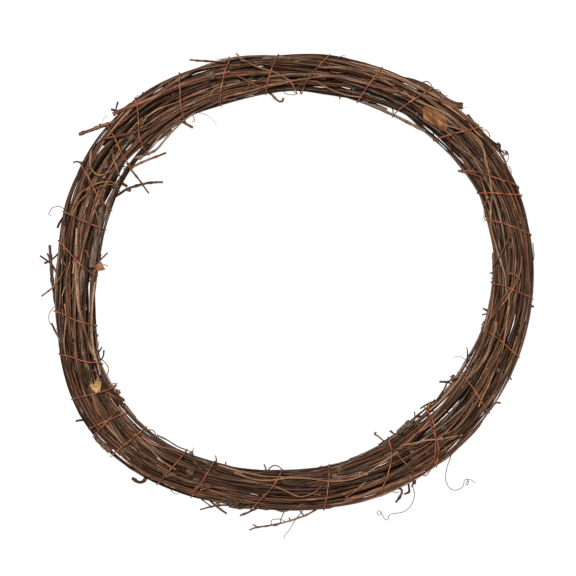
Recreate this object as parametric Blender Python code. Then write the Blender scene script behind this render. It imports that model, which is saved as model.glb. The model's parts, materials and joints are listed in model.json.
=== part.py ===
"""A grapevine wreath: long vine canes laid round a ring and bound by one wire wound round them.

Metres, +Z up. The wreath lies on a table at z = 0, on three pruned spurs of its lowest canes, and the
origin is on the table in the middle of its footprint.

Each cane is a chain of discs, one in the upright radial plane of each station that it passes. The canes
settle side by side in those planes, so that no two touch, and the wire runs round what they fill.
"""

import math

import bmesh
import bpy
import numpy as np
from mathutils import Vector

# The ring, and how it swells: order, height, degrees
RING_RADIUS = 0.1815  # to the middle of the bundle
RING_LOBES = ((2, 0.0061, 42), (3, 0.0022, 2), (4, 0.0027, 154), (5, 0.0013, 8), (6, 0.0006, -141))
BUNDLE_HALF_WIDTH = 0.0192
BUNDLE_HALF_HEIGHT = 0.0150
WIDTH_LOBES = ((2, 0.0013, -75), (4, 0.0011, 181))
STATIONS = 45

# The canes
SEED = 11
CANE_COUNT = 31
CANE_SIDES = 5
SPAN_SHORTEST = 34  # stations that a cane passes
SPAN_LONGEST = 43
BUTT_RADIUS = (0.0019, 0.0025)  # at a cane's thick end
TIP_RADIUS = (0.0013, 0.0017)
CANE_GAP = 0.0004  # between two canes that lie together
GOLDEN = 0.6180339887
SWAY = 0.95  # how far a cane wanders round the bundle, radians
SETTLE_STEPS = 700
ROOM_AT_FIRST = 1.7  # the bundle's size as the canes begin to settle, of its own
PLANES_BETWEEN = (0.5, 0.25, 0.75)  # where the canes are also kept apart, between two stations
FINISH_STEPS = 300

# Three thick canes whose cut ends show: name, end's angle, way it runs, outward and upward place, radius
BUTTS = (
    ("cane_outer_butt", 46.0, 1, 0.95, 0.10, 0.0030),
    ("cane_inner_butt", 174.5, -1, -0.80, 0.50, 0.0032),
    ("cane_frayed_butt", 207.0, 1, -0.15, 0.95, 0.0032),
)

# The long canes that are two, end to end: the number, the station where they meet, the second one's name
JOINED = {22: (15, "cane_32"), 15: (5, "cane_33")}
JOINED_GAP = 0.0004

# The binding wire
WIRE_RADIUS = 0.00065
WIRE_SIDES = 4
WIRE_GAP = 0.00035
WIRE_DIRECTIONS = 40  # tried in each turn
WIRE_SLACK = 0.0008  # how far a straight run of the wire may cut a corner
# Where each turn crosses the front: its angle at the outer side and at the inner side, degrees
WIRE_TURNS = (
    (216.2, 218.6), (224.3, 225.3), (236.7, 238.4), (245.4, 247.1), (260.1, 267.6), (278.5, 281.9),
    (293.0, 302.2), (308.3, 316.9), (326.5, 331.4), (341.7, 346.1), (355.8, 359.5), (370.8, 377.4),
    (381.0, 386.1), (386.5, 392.1), (398.5, 404.9), (413.5, 418.1), (426.6, 429.3), (440.1, 446.8),
    (453.1, 457.4), (465.2, 471.5), (478.0, 483.3), (490.0, 498.2), (499.4, 504.3), (510.7, 518.4),
    (522.9, 524.4), (530.0, 538.3), (547.1, 552.8), (557.3, 563.7), (568.4, 571.1),
)

# Height and feet
WIRE_ROOM = 0.0027  # under the canes, where the wire passes below them
SPUR_ANGLES = (82, 213, 330)
SPUR_RADIUS = 0.0015
SPUR_SIDES = 6

# Twigs that stand out: angle of the root, side, heading at the root and at the tip, rise in degrees,
# length, radius, forks. A fork: share of the length, heading, length
TWIGS = (
    (140.8, "outer", 201, 196, 4, 0.030, 0.0015, ()),
    (178.0, "outer", 116, 94, 4, 0.032, 0.0014, ((0.45, 150, 0.013), (0.6, 212, 0.008))),
    (217.6, "outer", 186, 178, 0, 0.020, 0.0010, ()),
    (233.4, "outer", 205, 176, 0, 0.019, 0.0012, ()),
    (254.6, "outer", 196, 186, 2, 0.031, 0.0013, ((0.55, 318, 0.011),)),
    (277.2, "outer", 212, 190, 0, 0.068, 0.0010, ((0.85, 160, 0.007),)),
    (299.6, "outer", 255, 240, 2, 0.018, 0.0011, ()),
    (108.0, "outer", 180, 172, 3, 0.026, 0.0012, ()),
    (141.6, "inner", 14, 26, 6, 0.035, 0.0011, ((0.16, 307, 0.026),)),
    (150.6, "inner", 26, 10, 10, 0.040, 0.0012, ((0.3, 52, 0.006),)),
    (121.2, "inner", 325, 330, 6, 0.009, 0.0011, ()),
    (95.0, "inner", 320, 300, 4, 0.012, 0.0011, ()),
    (307.2, "inner", 160, 148, 4, 0.016, 0.0012, ((0.6, 110, 0.005),)),
    (315.2, "inner", 196, 206, 4, 0.015, 0.0011, ()),
    (334.4, "inner", 96, 84, 4, 0.015, 0.0010, ()),
    (350.4, "inner", 146, 140, 4, 0.009, 0.0011, ()),
)
TWIG_SIDES = 5
TWIG_STEPS = 3
FORK_SHARE = 0.8  # a fork's radius, of its twig's

# A dead leaf and a husk caught on the front: middle angle, outward place, length, width, turn in degrees
LEAVES = (
    ("leaf_scrap", 48.2, -0.0010, 0.0180, 0.0110, 12),
    ("husk_scrap", 179.8, -0.0125, 0.0090, 0.0065, 20),
)
LEAF_THICKNESS = 0.0008
LEAF_GAP = 0.0004
LEAF_STEPS = 4

BARK_DARK = (0.075, 0.045, 0.030)
BARK_RED = (0.160, 0.078, 0.042)
BARK_TAN = (0.270, 0.140, 0.066)
WIRE_RUST = (0.380, 0.130, 0.045)
LEAF_BROWN = (0.400, 0.170, 0.060)


def lobed(base, lobes, angle):
    """A length that swells and shrinks round the ring."""
    return base + sum(height * np.cos(order * angle - math.radians(phase)) for order, height, phase in lobes)


def ring_radius(angle):
    return lobed(RING_RADIUS, RING_LOBES, angle)


def half_width(angle):
    return lobed(BUNDLE_HALF_WIDTH, WIDTH_LOBES, angle)


MIDDLE_HEIGHT = WIRE_ROOM + BUNDLE_HALF_HEIGHT
STEP_ANGLE = 2 * math.pi / STATIONS
ANGLES = np.arange(STATIONS) * STEP_ANGLE


def place(angle, outward, upward):
    """The point at a place in the bundle's section: outward and upward are counted from its middle."""
    radius = ring_radius(angle) + outward
    return Vector((radius * math.cos(angle), radius * math.sin(angle), MIDDLE_HEIGHT + upward))


def bark(name, colour, roughness=0.75, metallic=0.0):
    """A plain finish, made once for each name."""
    found = bpy.data.materials.get(name)
    if found:
        return found
    made = bpy.data.materials.new(name)
    made.use_nodes = True
    shader = made.node_tree.nodes["Principled BSDF"]
    shader.inputs["Base Color"].default_value = (*colour, 1)
    shader.inputs["Roughness"].default_value = roughness
    shader.inputs["Metallic"].default_value = metallic
    return made


def new_object(name, mesh_data, material):
    made = bpy.data.objects.new(name, mesh_data)
    mesh_data.materials.append(material)
    bpy.context.scene.collection.objects.link(made)
    return made


def lofted(name, rings):
    """A closed mesh through rings of points, with a flat cap at each end."""
    shape = bmesh.new()
    loops = [[shape.verts.new(point) for point in ring] for ring in rings]
    sides = len(rings[0])
    for near, far in zip(loops, loops[1:]):
        for i in range(sides):
            j = (i + 1) % sides
            shape.faces.new((near[i], near[j], far[j], far[i]))
    shape.faces.new(loops[0])
    shape.faces.new(loops[-1])
    bmesh.ops.recalc_face_normals(shape, faces=shape.faces)
    made = bpy.data.meshes.new(name)
    shape.to_mesh(made)
    shape.free()
    made.shade_smooth()
    made.set_sharp_from_angle(angle=math.radians(80))
    return made


def tube_rings(points, radii, sides):
    """Rings of points square to a path, which turn with it and don't spin."""
    side = None
    rings = []
    for i, point in enumerate(points):
        along = (points[min(i + 1, len(points) - 1)] - points[max(i - 1, 0)]).normalized()
        if side is None:
            side = along.orthogonal()
        side = (side - side.dot(along) * along).normalized()
        up = along.cross(side)
        turns = [2 * math.pi * (k + 0.5) / sides for k in range(sides)]
        rings.append([point + radii[i] * (math.cos(t) * side + math.sin(t) * up) for t in turns])
    return rings


# The canes settle into the bundle


def cane_plan():
    """Which stations each cane passes, its radius there, and the place that it heads for."""
    draw = np.random.default_rng(SEED)
    count = CANE_COUNT + len(BUTTS)
    present = np.zeros((count, STATIONS), bool)
    radius = np.zeros((count, STATIONS))
    goal = np.zeros((count, STATIONS, 2))
    hold = np.zeros((count, STATIONS))
    starts = []
    width = half_width(ANGLES)
    for cane in range(count):
        is_butt = cane >= CANE_COUNT
        span = int(draw.integers(SPAN_SHORTEST, SPAN_LONGEST + 1))
        start = int(round(STATIONS * ((cane * GOLDEN) % 1)))
        way = 1 if draw.random() < 0.5 else -1
        thick, thin = draw.uniform(*BUTT_RADIUS), draw.uniform(*TIP_RADIUS)
        if is_butt:
            _, end_angle, way, outward, upward, thick = BUTTS[cane - CANE_COUNT]
            start = int(round(math.radians(end_angle) / STEP_ANGLE))
            if way < 0:
                start -= span - 1
        stations = [(start + i) % STATIONS for i in range(span)]
        starts.append((start % STATIONS, span))
        taper = np.linspace(thick, thin, span)[::way]
        around = draw.uniform(0, 2 * math.pi)
        out = math.sqrt(draw.uniform(0.05, 1)) ** 0.6
        phases = draw.uniform(0, 2 * math.pi, 4)
        angle = ANGLES[stations]
        turn = around + SWAY * np.sin(angle + phases[0]) + 0.5 * SWAY * np.sin(2 * angle + phases[1])
        reach = np.clip(out + 0.22 * np.sin(2 * angle + phases[2]) + 0.12 * np.sin(3 * angle + phases[3]), 0, 1)
        present[cane, stations] = True
        radius[cane, stations] = taper
        goal[cane, stations, 0] = reach * np.cos(turn) * (width[stations] - taper)
        goal[cane, stations, 1] = reach * np.sin(turn) * (BUNDLE_HALF_HEIGHT - taper)
        if is_butt:
            near_end = stations[:4] if way > 0 else stations[::-1][:4]
            fade = np.array((1, 1, 0.7, 0.3))
            held = np.array((outward * width[near_end[0]], upward * BUNDLE_HALF_HEIGHT))
            goal[cane, near_end] += fade[:, None] * (held - goal[cane, near_end])
            hold[cane, near_end] = fade
    return present, radius, goal, hold, starts


def pushed_apart(places, present, radius):
    """How each disc moves to clear the others in its plane."""
    apart = places[:, None] - places[None]
    distance = np.linalg.norm(apart, axis=-1)
    both = present[:, None] & present[None]
    both[np.arange(len(places)), np.arange(len(places))] = False
    short = np.clip(radius[:, None] + radius[None] + CANE_GAP - distance, 0, None) * both
    away = apart / np.maximum(distance, 1e-6)[..., None]
    return 0.5 * (away * short[..., None]).sum(1)


def contained(places, radius, width, height):
    """The places brought back inside the bundle's oval."""
    room = np.stack([width[None] - radius, height - radius], -1)
    over = np.linalg.norm(places / room, axis=-1)
    return places / np.maximum(over, 1)[..., None]


def eased(places, present, radius, width, height):
    """One step in which the canes make way for each other, at the stations and between them."""
    places = places + 0.6 * pushed_apart(places, present, radius)
    ahead = present & np.roll(present, -1, 1)
    for share in PLANES_BETWEEN:
        between = (1 - share) * places + share * np.roll(places, -1, 1)
        between_radius = (1 - share) * radius + share * np.roll(radius, -1, 1)
        shift = 0.6 * pushed_apart(between, ahead, between_radius) * ahead[..., None]
        places = places + (1 - share) * shift + share * np.roll(shift, 1, 1)
    return contained(places, radius, width, height)


def settled(present, radius, goal, hold):
    """The canes' places once they lie side by side and bend smoothly. They begin with room to pass each
    other, and the bundle then closes on them."""
    places = goal * ROOM_AT_FIRST
    width = half_width(ANGLES)
    inner = (present & np.roll(present, -1, 1) & np.roll(present, 1, 1))[..., None]
    for step in range(SETTLE_STEPS):
        share = min(step / (0.7 * SETTLE_STEPS), 1)
        room = ROOM_AT_FIRST + share * (1 - ROOM_AT_FIRST)
        pull = 0.04 * (1 - share) ** 2 + 0.5 * hold[..., None]
        places += np.minimum(pull, 1) * (goal * room - places)
        smooth = 0.5 * (np.roll(places, -1, 1) + np.roll(places, 1, 1)) - places
        places += 0.3 * (1 - step / SETTLE_STEPS) * inner * smooth
        places = eased(places, present, radius, width * room, BUNDLE_HALF_HEIGHT * room)
    for _ in range(FINISH_STEPS):
        places = eased(places, present, radius, width, BUNDLE_HALF_HEIGHT)
    return places


def section_at(angle, places, radius, present):
    """Every cane's disc in the plane at any angle. Between two stations a cane runs straight."""
    at = (angle % (2 * math.pi)) / STEP_ANGLE
    low = int(at) % STATIONS
    high = (low + 1) % STATIONS
    past = (at - int(at)) * STEP_ANGLE
    there = present[:, low] & present[:, high]
    near = ring_radius(ANGLES[low]) + places[there, low, 0]
    far = ring_radius(ANGLES[high]) + places[there, high, 0]
    whole = near * math.sin(past) + far * math.sin(STEP_ANGLE - past)
    share = near * math.sin(past) / whole
    outward = near * far * math.sin(STEP_ANGLE) / whole - ring_radius(angle)
    upward = (1 - share) * places[there, low, 1] + share * places[there, high, 1]
    radii = (1 - share) * radius[there, low] + share * radius[there, high]
    return np.stack([outward, upward], -1), radii, np.flatnonzero(there)


def parted(rings, at):
    """Two runs of rings, which end on either side of a narrow gap at one of them."""
    ends = []
    for beside in (rings[at - 1], rings[at + 1]):
        share = JOINED_GAP / 2 / (beside[0] - rings[at][0]).length
        ends.append([corner.lerp(other, share) for corner, other in zip(rings[at], beside)])
    return rings[:at] + [ends[0]], [ends[1]] + rings[at + 1 :]


def build_canes(places, radius, starts, names):
    """The canes, and the second half of each one that is two."""
    finishes = [bark("bark_dark", BARK_DARK), bark("bark_red", BARK_RED), bark("bark_tan", BARK_TAN)]
    made = []
    second = {}
    for cane, (start, span) in enumerate(starts):
        spin = 2 * math.pi * ((cane * GOLDEN) % 1)
        rings = []
        for i in range(span):
            station = (start + i) % STATIONS
            outward, upward = places[cane, station]
            r = radius[cane, station]
            turns = [spin + 2 * math.pi * k / CANE_SIDES for k in range(CANE_SIDES)]
            ring = [place(ANGLES[station], outward + r * math.cos(t), upward + r * math.sin(t)) for t in turns]
            rings.append(ring)
        if cane + 1 in JOINED:
            meet, name = JOINED[cane + 1]
            rings, more = parted(rings, (meet - start) % STATIONS)
            second[cane] = new_object(name, lofted(name, more), finishes[cane % 3])
        made.append(new_object(names[cane], lofted(names[cane], rings), finishes[cane % 3]))
    return made, second


# The wire


def wire_angles():
    """The ring angle and the turn round the bundle of each point of the wire. A turn's front runs from the
    outer side to the inner one, and its back on to the next turn's outer side."""
    knots = []
    for number, (outer, inner) in enumerate(WIRE_TURNS):
        knots.append((2 * math.pi * number, math.radians(outer)))
        knots.append((2 * math.pi * number + math.pi, math.radians(inner)))
    turns, angles = np.array(knots).T
    steps = int(round((turns[-1] - turns[0]) / (2 * math.pi) * WIRE_DIRECTIONS))
    at = np.linspace(turns[0], turns[-1], steps + 1)
    return at, np.interp(at, turns, angles)


def hull_reach(turn, angles, bundle):
    """How far the canes' hull reaches from the bundle's middle at a turn, over a stretch of the ring."""
    tried = 2 * math.pi * np.arange(WIRE_DIRECTIONS) / WIRE_DIRECTIONS
    directions = np.stack([np.cos(tried), np.sin(tried)], -1)
    reach = np.full(WIRE_DIRECTIONS, -math.inf)
    for angle in angles:
        discs, radii, _ = section_at(angle, *bundle)
        reach = np.maximum(reach, (discs @ directions.T + radii[:, None]).max(0))
    facing = np.cos(tried - turn)
    reach = reach + WIRE_RADIUS + WIRE_GAP + WIRE_SLACK
    return (reach[facing > 0.1] / facing[facing > 0.1]).min()


def straightened(points, slack):
    """The fewest of the points whose straight runs pass within the slack of the rest."""
    if len(points) < 3:
        return points
    first, last = points[0], points[-1]
    run = (last - first).normalized()
    off = [(p - first).cross(run).length for p in points]
    worst = max(range(1, len(points) - 1), key=off.__getitem__)
    if off[worst] <= slack:
        return [first, last]
    return straightened(points[: worst + 1], slack)[:-1] + straightened(points[worst:], slack)


def wire_route(bundle):
    """A path that runs tightly round the canes and stays clear of them."""
    turns, angles = wire_angles()
    route = []
    for i in range(1, len(turns) - 1):
        stretch = np.linspace(angles[i - 1], angles[i + 1], 3)
        reach = hull_reach(turns[i], stretch, bundle)
        route.append(place(angles[i], reach * math.cos(turns[i]), reach * math.sin(turns[i])))
    half = WIRE_DIRECTIONS // 2
    kept = []
    for begin in range(0, len(route) - 1, half):
        kept += straightened(route[begin : begin + half + 1], WIRE_SLACK)[:-1]
    return kept + [route[-1]]


def build_wire(bundle):
    route = wire_route(bundle)
    rings = tube_rings(route, [WIRE_RADIUS] * len(route), WIRE_SIDES)
    return new_object("binding_wire", lofted("binding_wire", rings), bark("wire_rust", WIRE_RUST, 0.55, 0.3))


# Spurs and twigs, which grow from the canes


def outermost(angle, direction, bundle):
    """The cane that reaches furthest in a direction of the section, and its disc there."""
    discs, radii, which = section_at(angle, *bundle)
    best = int(np.argmax(discs @ np.array(direction) + radii))
    return which[best], discs[best], radii[best]


def spur(angle, bundle):
    """A pruned spur under the lowest cane, cut flat where it stands on the table."""
    host, disc, _ = outermost(angle, (0, -1), bundle)
    top = place(angle, *disc)
    foot = Vector((top.x, top.y, 0))
    rings = []
    for centre, swell in ((top, 1.15), (foot, 1.0)):
        turns = [2 * math.pi * k / SPUR_SIDES for k in range(SPUR_SIDES)]
        r = swell * SPUR_RADIUS
        rings.append([centre + r * Vector((math.cos(t), math.sin(t), 0)) for t in turns])
    return host, lofted("spur", rings)


def twig_path(root, heading, last_heading, rise, length):
    """The points of a twig, whose heading changes from root to tip."""
    points = [root]
    for i in range(TWIG_STEPS):
        turn = math.radians(heading + (last_heading - heading) * i / (TWIG_STEPS - 1))
        run = Vector((math.cos(turn), math.sin(turn), math.tan(math.radians(rise))))
        points.append(points[-1] + run.normalized() * length / TWIG_STEPS)
    return points


def tapered(name, points, radius):
    radii = np.linspace(radius, 0.8 * radius, len(points)).tolist()
    return lofted(name, tube_rings(points, radii, TWIG_SIDES))


def twig(root_degrees, side, heading, last_heading, rise, length, radius, forks, bundle):
    """A twig's meshes, with its forks, and the cane that it grows from."""
    angle = math.radians(root_degrees)
    host, disc, _ = outermost(angle, (1, 0) if side == "outer" else (-1, 0), bundle)
    points = twig_path(place(angle, *disc), heading, last_heading, rise, length)
    shapes = [tapered("twig", points, radius)]
    for share, fork_heading, fork_length in forks:
        low = int(share * TWIG_STEPS)
        root = points[low].lerp(points[low + 1], share * TWIG_STEPS - low)
        fork = twig_path(root, fork_heading, fork_heading + 6, rise + 5, fork_length)
        shapes.append(tapered("fork", fork, FORK_SHARE * radius))
    return host, shapes


def fuse(host, shapes):
    """One solid of a cane and what grows from it."""
    pieces = bpy.data.collections.new(host.name + "_growth")
    bpy.context.scene.collection.children.link(pieces)
    for shape in shapes:
        pieces.objects.link(bpy.data.objects.new("growth", shape))
    union = host.modifiers.new("growth", "BOOLEAN")
    union.operation = "UNION"
    union.operand_type = "COLLECTION"
    union.collection = pieces
    union.solver = "EXACT"
    bpy.context.view_layer.objects.active = host
    bpy.ops.object.modifier_apply(modifier=union.name)
    for piece in list(pieces.objects):
        bpy.data.objects.remove(piece)
    bpy.data.collections.remove(pieces)


def add_growth(canes, second, starts, bundle):
    """Joins each spur and twig to the cane that it grows from."""
    grown = {}

    def add(host, degrees, shapes):
        start = starts[host][0]
        reached = (math.radians(degrees) / STEP_ANGLE - start) % STATIONS
        in_second = host in second and reached > (JOINED[host + 1][0] - start) % STATIONS
        solid = second[host] if in_second else canes[host]
        grown.setdefault(solid.name, []).extend(shapes)

    for degrees in SPUR_ANGLES:
        host, shape = spur(math.radians(degrees), bundle)
        add(host, degrees, [shape])
    for entry in TWIGS:
        host, shapes = twig(*entry, bundle)
        add(host, entry[0], shapes)
    for name, shapes in grown.items():
        fuse(bpy.data.objects[name], shapes)


# Scraps of leaf


def top_of(angle, outward, bundle):
    """The height of the canes' hull over a place in the section."""
    discs, radii, _ = section_at(angle, *bundle)
    best = math.inf
    for tilt in np.radians(np.arange(-60, 61, 10)):
        reach = (discs @ np.array((math.sin(tilt), math.cos(tilt))) + radii).max()
        best = min(best, (reach - outward * math.sin(tilt)) / math.cos(tilt))
    return best


def leaf(name, degrees, outward, length, width, turn, bundle):
    """A thin scrap that lies on the canes, bent as they are."""
    shape = bmesh.new()
    layers = []
    skew = math.radians(turn)
    for lift in (LEAF_GAP, LEAF_GAP + LEAF_THICKNESS):
        rows = []
        for i in range(LEAF_STEPS + 1):
            row = []
            for j in range(LEAF_STEPS + 1):
                along = length * (i / LEAF_STEPS - 0.5)
                across = width * (j / LEAF_STEPS - 0.5)
                along, across = (
                    along * math.cos(skew) - across * math.sin(skew),
                    along * math.sin(skew) + across * math.cos(skew),
                )
                angle = math.radians(degrees) + along / ring_radius(math.radians(degrees))
                out = outward + across
                row.append(shape.verts.new(place(angle, out, top_of(angle, out, bundle) + lift)))
            rows.append(row)
        layers.append(rows)
    for rows in layers:
        for near, far in zip(rows, rows[1:]):
            for a, b, c, d in zip(near, near[1:], far[1:], far):
                shape.faces.new((a, b, c, d))
    last = LEAF_STEPS
    rim = [(0, j) for j in range(last)] + [(i, last) for i in range(last)]
    rim += [(last, j) for j in range(last, 0, -1)] + [(i, 0) for i in range(last, 0, -1)]
    low, high = layers
    for (i, j), (k, m) in zip(rim, rim[1:] + rim[:1]):
        shape.faces.new((low[i][j], low[k][m], high[k][m], high[i][j]))
    bmesh.ops.triangulate(shape, faces=shape.faces)
    bmesh.ops.recalc_face_normals(shape, faces=shape.faces)
    made = bpy.data.meshes.new(name)
    shape.to_mesh(made)
    shape.free()
    return new_object(name, made, bark("dead_leaf", LEAF_BROWN, 0.8))


def centre_footprint():
    """Moves every piece so that the origin is under the middle of the wreath."""
    points = np.array([v.co for o in bpy.context.scene.objects for v in o.data.vertices])
    middle = (points.min(0) + points.max(0)) / 2
    for item in bpy.context.scene.objects:
        for vertex in item.data.vertices:
            vertex.co.x -= middle[0]
            vertex.co.y -= middle[1]


def main():
    for item in list(bpy.data.objects):
        bpy.data.objects.remove(item)
    present, radius, goal, hold, starts = cane_plan()
    places = settled(present, radius, goal, hold)
    bundle = (places, radius, present)
    names = [f"cane_{number + 1:02d}" for number in range(CANE_COUNT)] + [butt[0] for butt in BUTTS]
    canes, second = build_canes(places, radius, starts, names)
    build_wire(bundle)
    add_growth(canes, second, starts, bundle)
    for entry in LEAVES:
        leaf(*entry, bundle)
    centre_footprint()


main()
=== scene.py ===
import json
import math
import random

import bpy
import numpy as np
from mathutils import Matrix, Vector, noise
from mathutils.bvhtree import BVHTree


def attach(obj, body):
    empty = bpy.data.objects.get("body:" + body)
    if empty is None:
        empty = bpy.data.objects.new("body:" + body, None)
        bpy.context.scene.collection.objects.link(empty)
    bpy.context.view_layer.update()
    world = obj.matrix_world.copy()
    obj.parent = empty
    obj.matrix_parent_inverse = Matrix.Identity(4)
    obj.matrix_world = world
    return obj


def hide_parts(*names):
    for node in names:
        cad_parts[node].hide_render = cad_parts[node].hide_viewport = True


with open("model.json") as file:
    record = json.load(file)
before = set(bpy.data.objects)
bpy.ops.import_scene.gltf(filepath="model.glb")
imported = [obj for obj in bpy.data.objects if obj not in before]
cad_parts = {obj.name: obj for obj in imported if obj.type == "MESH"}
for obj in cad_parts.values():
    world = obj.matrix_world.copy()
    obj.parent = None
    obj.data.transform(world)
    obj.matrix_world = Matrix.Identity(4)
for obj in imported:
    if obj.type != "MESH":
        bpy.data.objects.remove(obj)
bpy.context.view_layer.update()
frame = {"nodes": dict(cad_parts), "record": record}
print("frame loaded:", len(frame["nodes"]), "nodes")

mm = 0.001
ring = {
    "centre": (0.002936, 0.010092),  # of the ring, from the frame's origin
    "planes": 45,  # upright planes in which the solid canes have their corners
    "middle": 0.0177,  # height of the bundle's middle
    "fine": 180,  # planes in which the thin shoots settle
}
view = {
    "lens": 100,
    "width": 36,
    "distance": 1.342,  # above the bundle's middle
    "aim": (-0.00176, -0.00570),  # from the ring's centre
    "pixel": 0.8386 * mm,  # at the bundle's middle
}
camX = ring["centre"][0] + view["aim"][0]
camY = ring["centre"][1] + view["aim"][1]
camZ = ring["middle"] + view["distance"]


def inPicture(px, py, height):
    # the point at a height that the picture shows at a pixel
    share = (camZ - height) / view["distance"] * view["pixel"]
    return Vector((camX + (px - 288) * share, camY + (288 - py) * share, height))


def fromHex(code):
    values = [int(code[i : i + 2], 16) / 255 for i in (1, 3, 5)]
    return tuple(v / 12.92 if v <= 0.04045 else ((v + 0.055) / 1.055) ** 2.4 for v in values) + (1.0,)


def addNode(tree, kind, settings=None, links=None):
    made = tree.nodes.new(kind)
    for key, value in (settings or {}).items():
        if isinstance(key, int) or key in made.inputs:
            made.inputs[key].default_value = value
        else:
            setattr(made, key, value)
    for key, source in (links or {}).items():
        tree.links.new(source, made.inputs[key])
    return made


def addRamp(tree, stops, source):
    made = addNode(tree, "ShaderNodeValToRGB", links={"Fac": source})
    ramp = made.color_ramp
    while len(ramp.elements) < len(stops):
        ramp.elements.new(0.5)
    for element, (position, colour) in zip(ramp.elements, stops):
        element.position = position
        element.color = fromHex(colour)
    return made


def newMaterial(name):
    made = bpy.data.materials.new(name)
    made.use_nodes = True
    return made, made.node_tree, made.node_tree.nodes["Principled BSDF"]


def perMetre(size):
    return 1 / size


def barkMaterial(name, values):
    made, tree, shader = newMaterial(name)
    straight = addNode(tree, "ShaderNodeAttribute", {"attribute_name": "straight"})
    tone = addNode(tree, "ShaderNodeAttribute", {"attribute_name": "tone"})
    across, along = perMetre(values["fibreWidth"]), perMetre(values["fibreLength"])
    fibreSpace = addNode(
        tree, "ShaderNodeVectorMath", {"operation": "MULTIPLY", 1: (across, across, along)},
        {0: straight.outputs["Vector"]},
    )
    fibre = addNode(
        tree, "ShaderNodeTexNoise", {"Scale": 1.0, "Detail": 3.0, "Roughness": 0.62},
        {"Vector": fibreSpace.outputs[0]},
    )
    wide, long = perMetre(values["patchWidth"]), perMetre(values["patchLength"])
    patchSpace = addNode(
        tree, "ShaderNodeVectorMath", {"operation": "MULTIPLY", 1: (wide, wide, long)},
        {0: straight.outputs["Vector"]},
    )
    patch = addNode(
        tree, "ShaderNodeTexNoise", {"Scale": 1.0, "Detail": 2.0, "Roughness": 0.5},
        {"Vector": patchSpace.outputs[0]},
    )
    spread = addNode(
        tree, "ShaderNodeMath", {"operation": "MULTIPLY_ADD", 1: values["contrast"], 2: 0.5 - 0.5 * values["contrast"]},
        {0: fibre.outputs["Fac"]},
    )
    mixed = addNode(
        tree, "ShaderNodeMath", {"operation": "ADD"},
        {0: spread.outputs[0], 1: tone.outputs["Fac"]},
    )
    base = addRamp(tree, values["ramp"], mixed.outputs[0])
    patchMask = addNode(
        tree, "ShaderNodeMapRange",
        {"From Min": values["patchFrom"], "From Max": values["patchFrom"] + 0.12, "To Max": values["patchShare"]},
        {"Value": patch.outputs["Fac"]},
    )
    colour = addNode(
        tree, "ShaderNodeMix", {"data_type": "RGBA", 7: fromHex(values["patch"])},
        {0: patchMask.outputs[0], 6: base.outputs[0]},
    )
    tree.links.new(colour.outputs[2], shader.inputs["Base Color"])
    rough = addNode(
        tree, "ShaderNodeMapRange",
        {"From Min": 0.3, "From Max": 0.7, "To Min": values["roughness"][0], "To Max": values["roughness"][1]},
        {"Value": fibre.outputs["Fac"]},
    )
    tree.links.new(rough.outputs[0], shader.inputs["Roughness"])
    bump = addNode(
        tree, "ShaderNodeBump", {"Strength": 1.0, "Distance": values["relief"]},
        {"Height": fibre.outputs["Fac"]},
    )
    tree.links.new(bump.outputs[0], shader.inputs["Normal"])
    shader.inputs["Specular IOR Level"].default_value = values.get("gloss", 0.35)
    return made


barks = {
    # old vine bark, dull, furrowed and fibrous: dark streaks run along the cane
    "agedVineBark": {
        "ramp": ((0.24, "#100601"), (0.42, "#26150a"), (0.60, "#432d1e"), (0.84, "#7a6655")),
        "patch": "#4a3b30", "patchFrom": 0.60, "patchShare": 0.4, "patchWidth": 6 * mm, "patchLength": 40 * mm,
        "fibreWidth": 0.65 * mm, "fibreLength": 20 * mm, "contrast": 1.5, "roughness": (0.5, 0.85),
        "relief": 0.35 * mm, "gloss": 0.06,
    },
    # one-year vine bark, red-brown and closer, with a little sheen on its ridges
    "redVineBark": {
        "ramp": ((0.24, "#140701"), (0.42, "#321708"), (0.60, "#53301d"), (0.84, "#856450")),
        "patch": "#2c1a13", "patchFrom": 0.56, "patchShare": 0.7, "patchWidth": 5 * mm, "patchLength": 30 * mm,
        "fibreWidth": 0.65 * mm, "fibreLength": 24 * mm, "contrast": 1.35, "roughness": (0.4, 0.7),
        "relief": 0.25 * mm, "gloss": 0.15,
    },
    # dry tan bark, from which the outer skin has come off in strips
    "tanVineBark": {
        "ramp": ((0.24, "#170901"), (0.42, "#39200f"), (0.60, "#5e4029"), (0.84, "#937a63")),
        "patch": "#2d1c13", "patchFrom": 0.54, "patchShare": 0.8, "patchWidth": 5 * mm, "patchLength": 26 * mm,
        "fibreWidth": 0.6 * mm, "fibreLength": 20 * mm, "contrast": 1.45, "roughness": (0.4, 0.75),
        "relief": 0.25 * mm, "gloss": 0.15,
    },
    # smooth young shoots, orange-tan where the thin skin shows the wood's colour
    "youngShootBark": {
        "ramp": ((0.24, "#210e04"), (0.42, "#4a2911"), (0.60, "#6f4c2d"), (0.84, "#9a8068")),
        "patch": "#41210f", "patchFrom": 0.55, "patchShare": 0.6, "patchWidth": 4 * mm, "patchLength": 22 * mm,
        "fibreWidth": 0.5 * mm, "fibreLength": 22 * mm, "contrast": 1.1, "roughness": (0.35, 0.6),
        "relief": 0.12 * mm, "gloss": 0.26,
    },
    # weathered twig bark, grey over brown
    "greyTwigBark": {
        "ramp": ((0.24, "#150b06"), (0.42, "#2e2016"), (0.60, "#4c3c31"), (0.84, "#83736a")),
        "patch": "#1f1510", "patchFrom": 0.55, "patchShare": 0.6, "patchWidth": 4 * mm, "patchLength": 18 * mm,
        "fibreWidth": 0.5 * mm, "fibreLength": 8 * mm, "contrast": 1.3, "roughness": (0.55, 0.85),
        "relief": 0.25 * mm, "gloss": 0.06,
    },
}
barkOf = {name: barkMaterial(name, values) for name, values in barks.items()}


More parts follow.
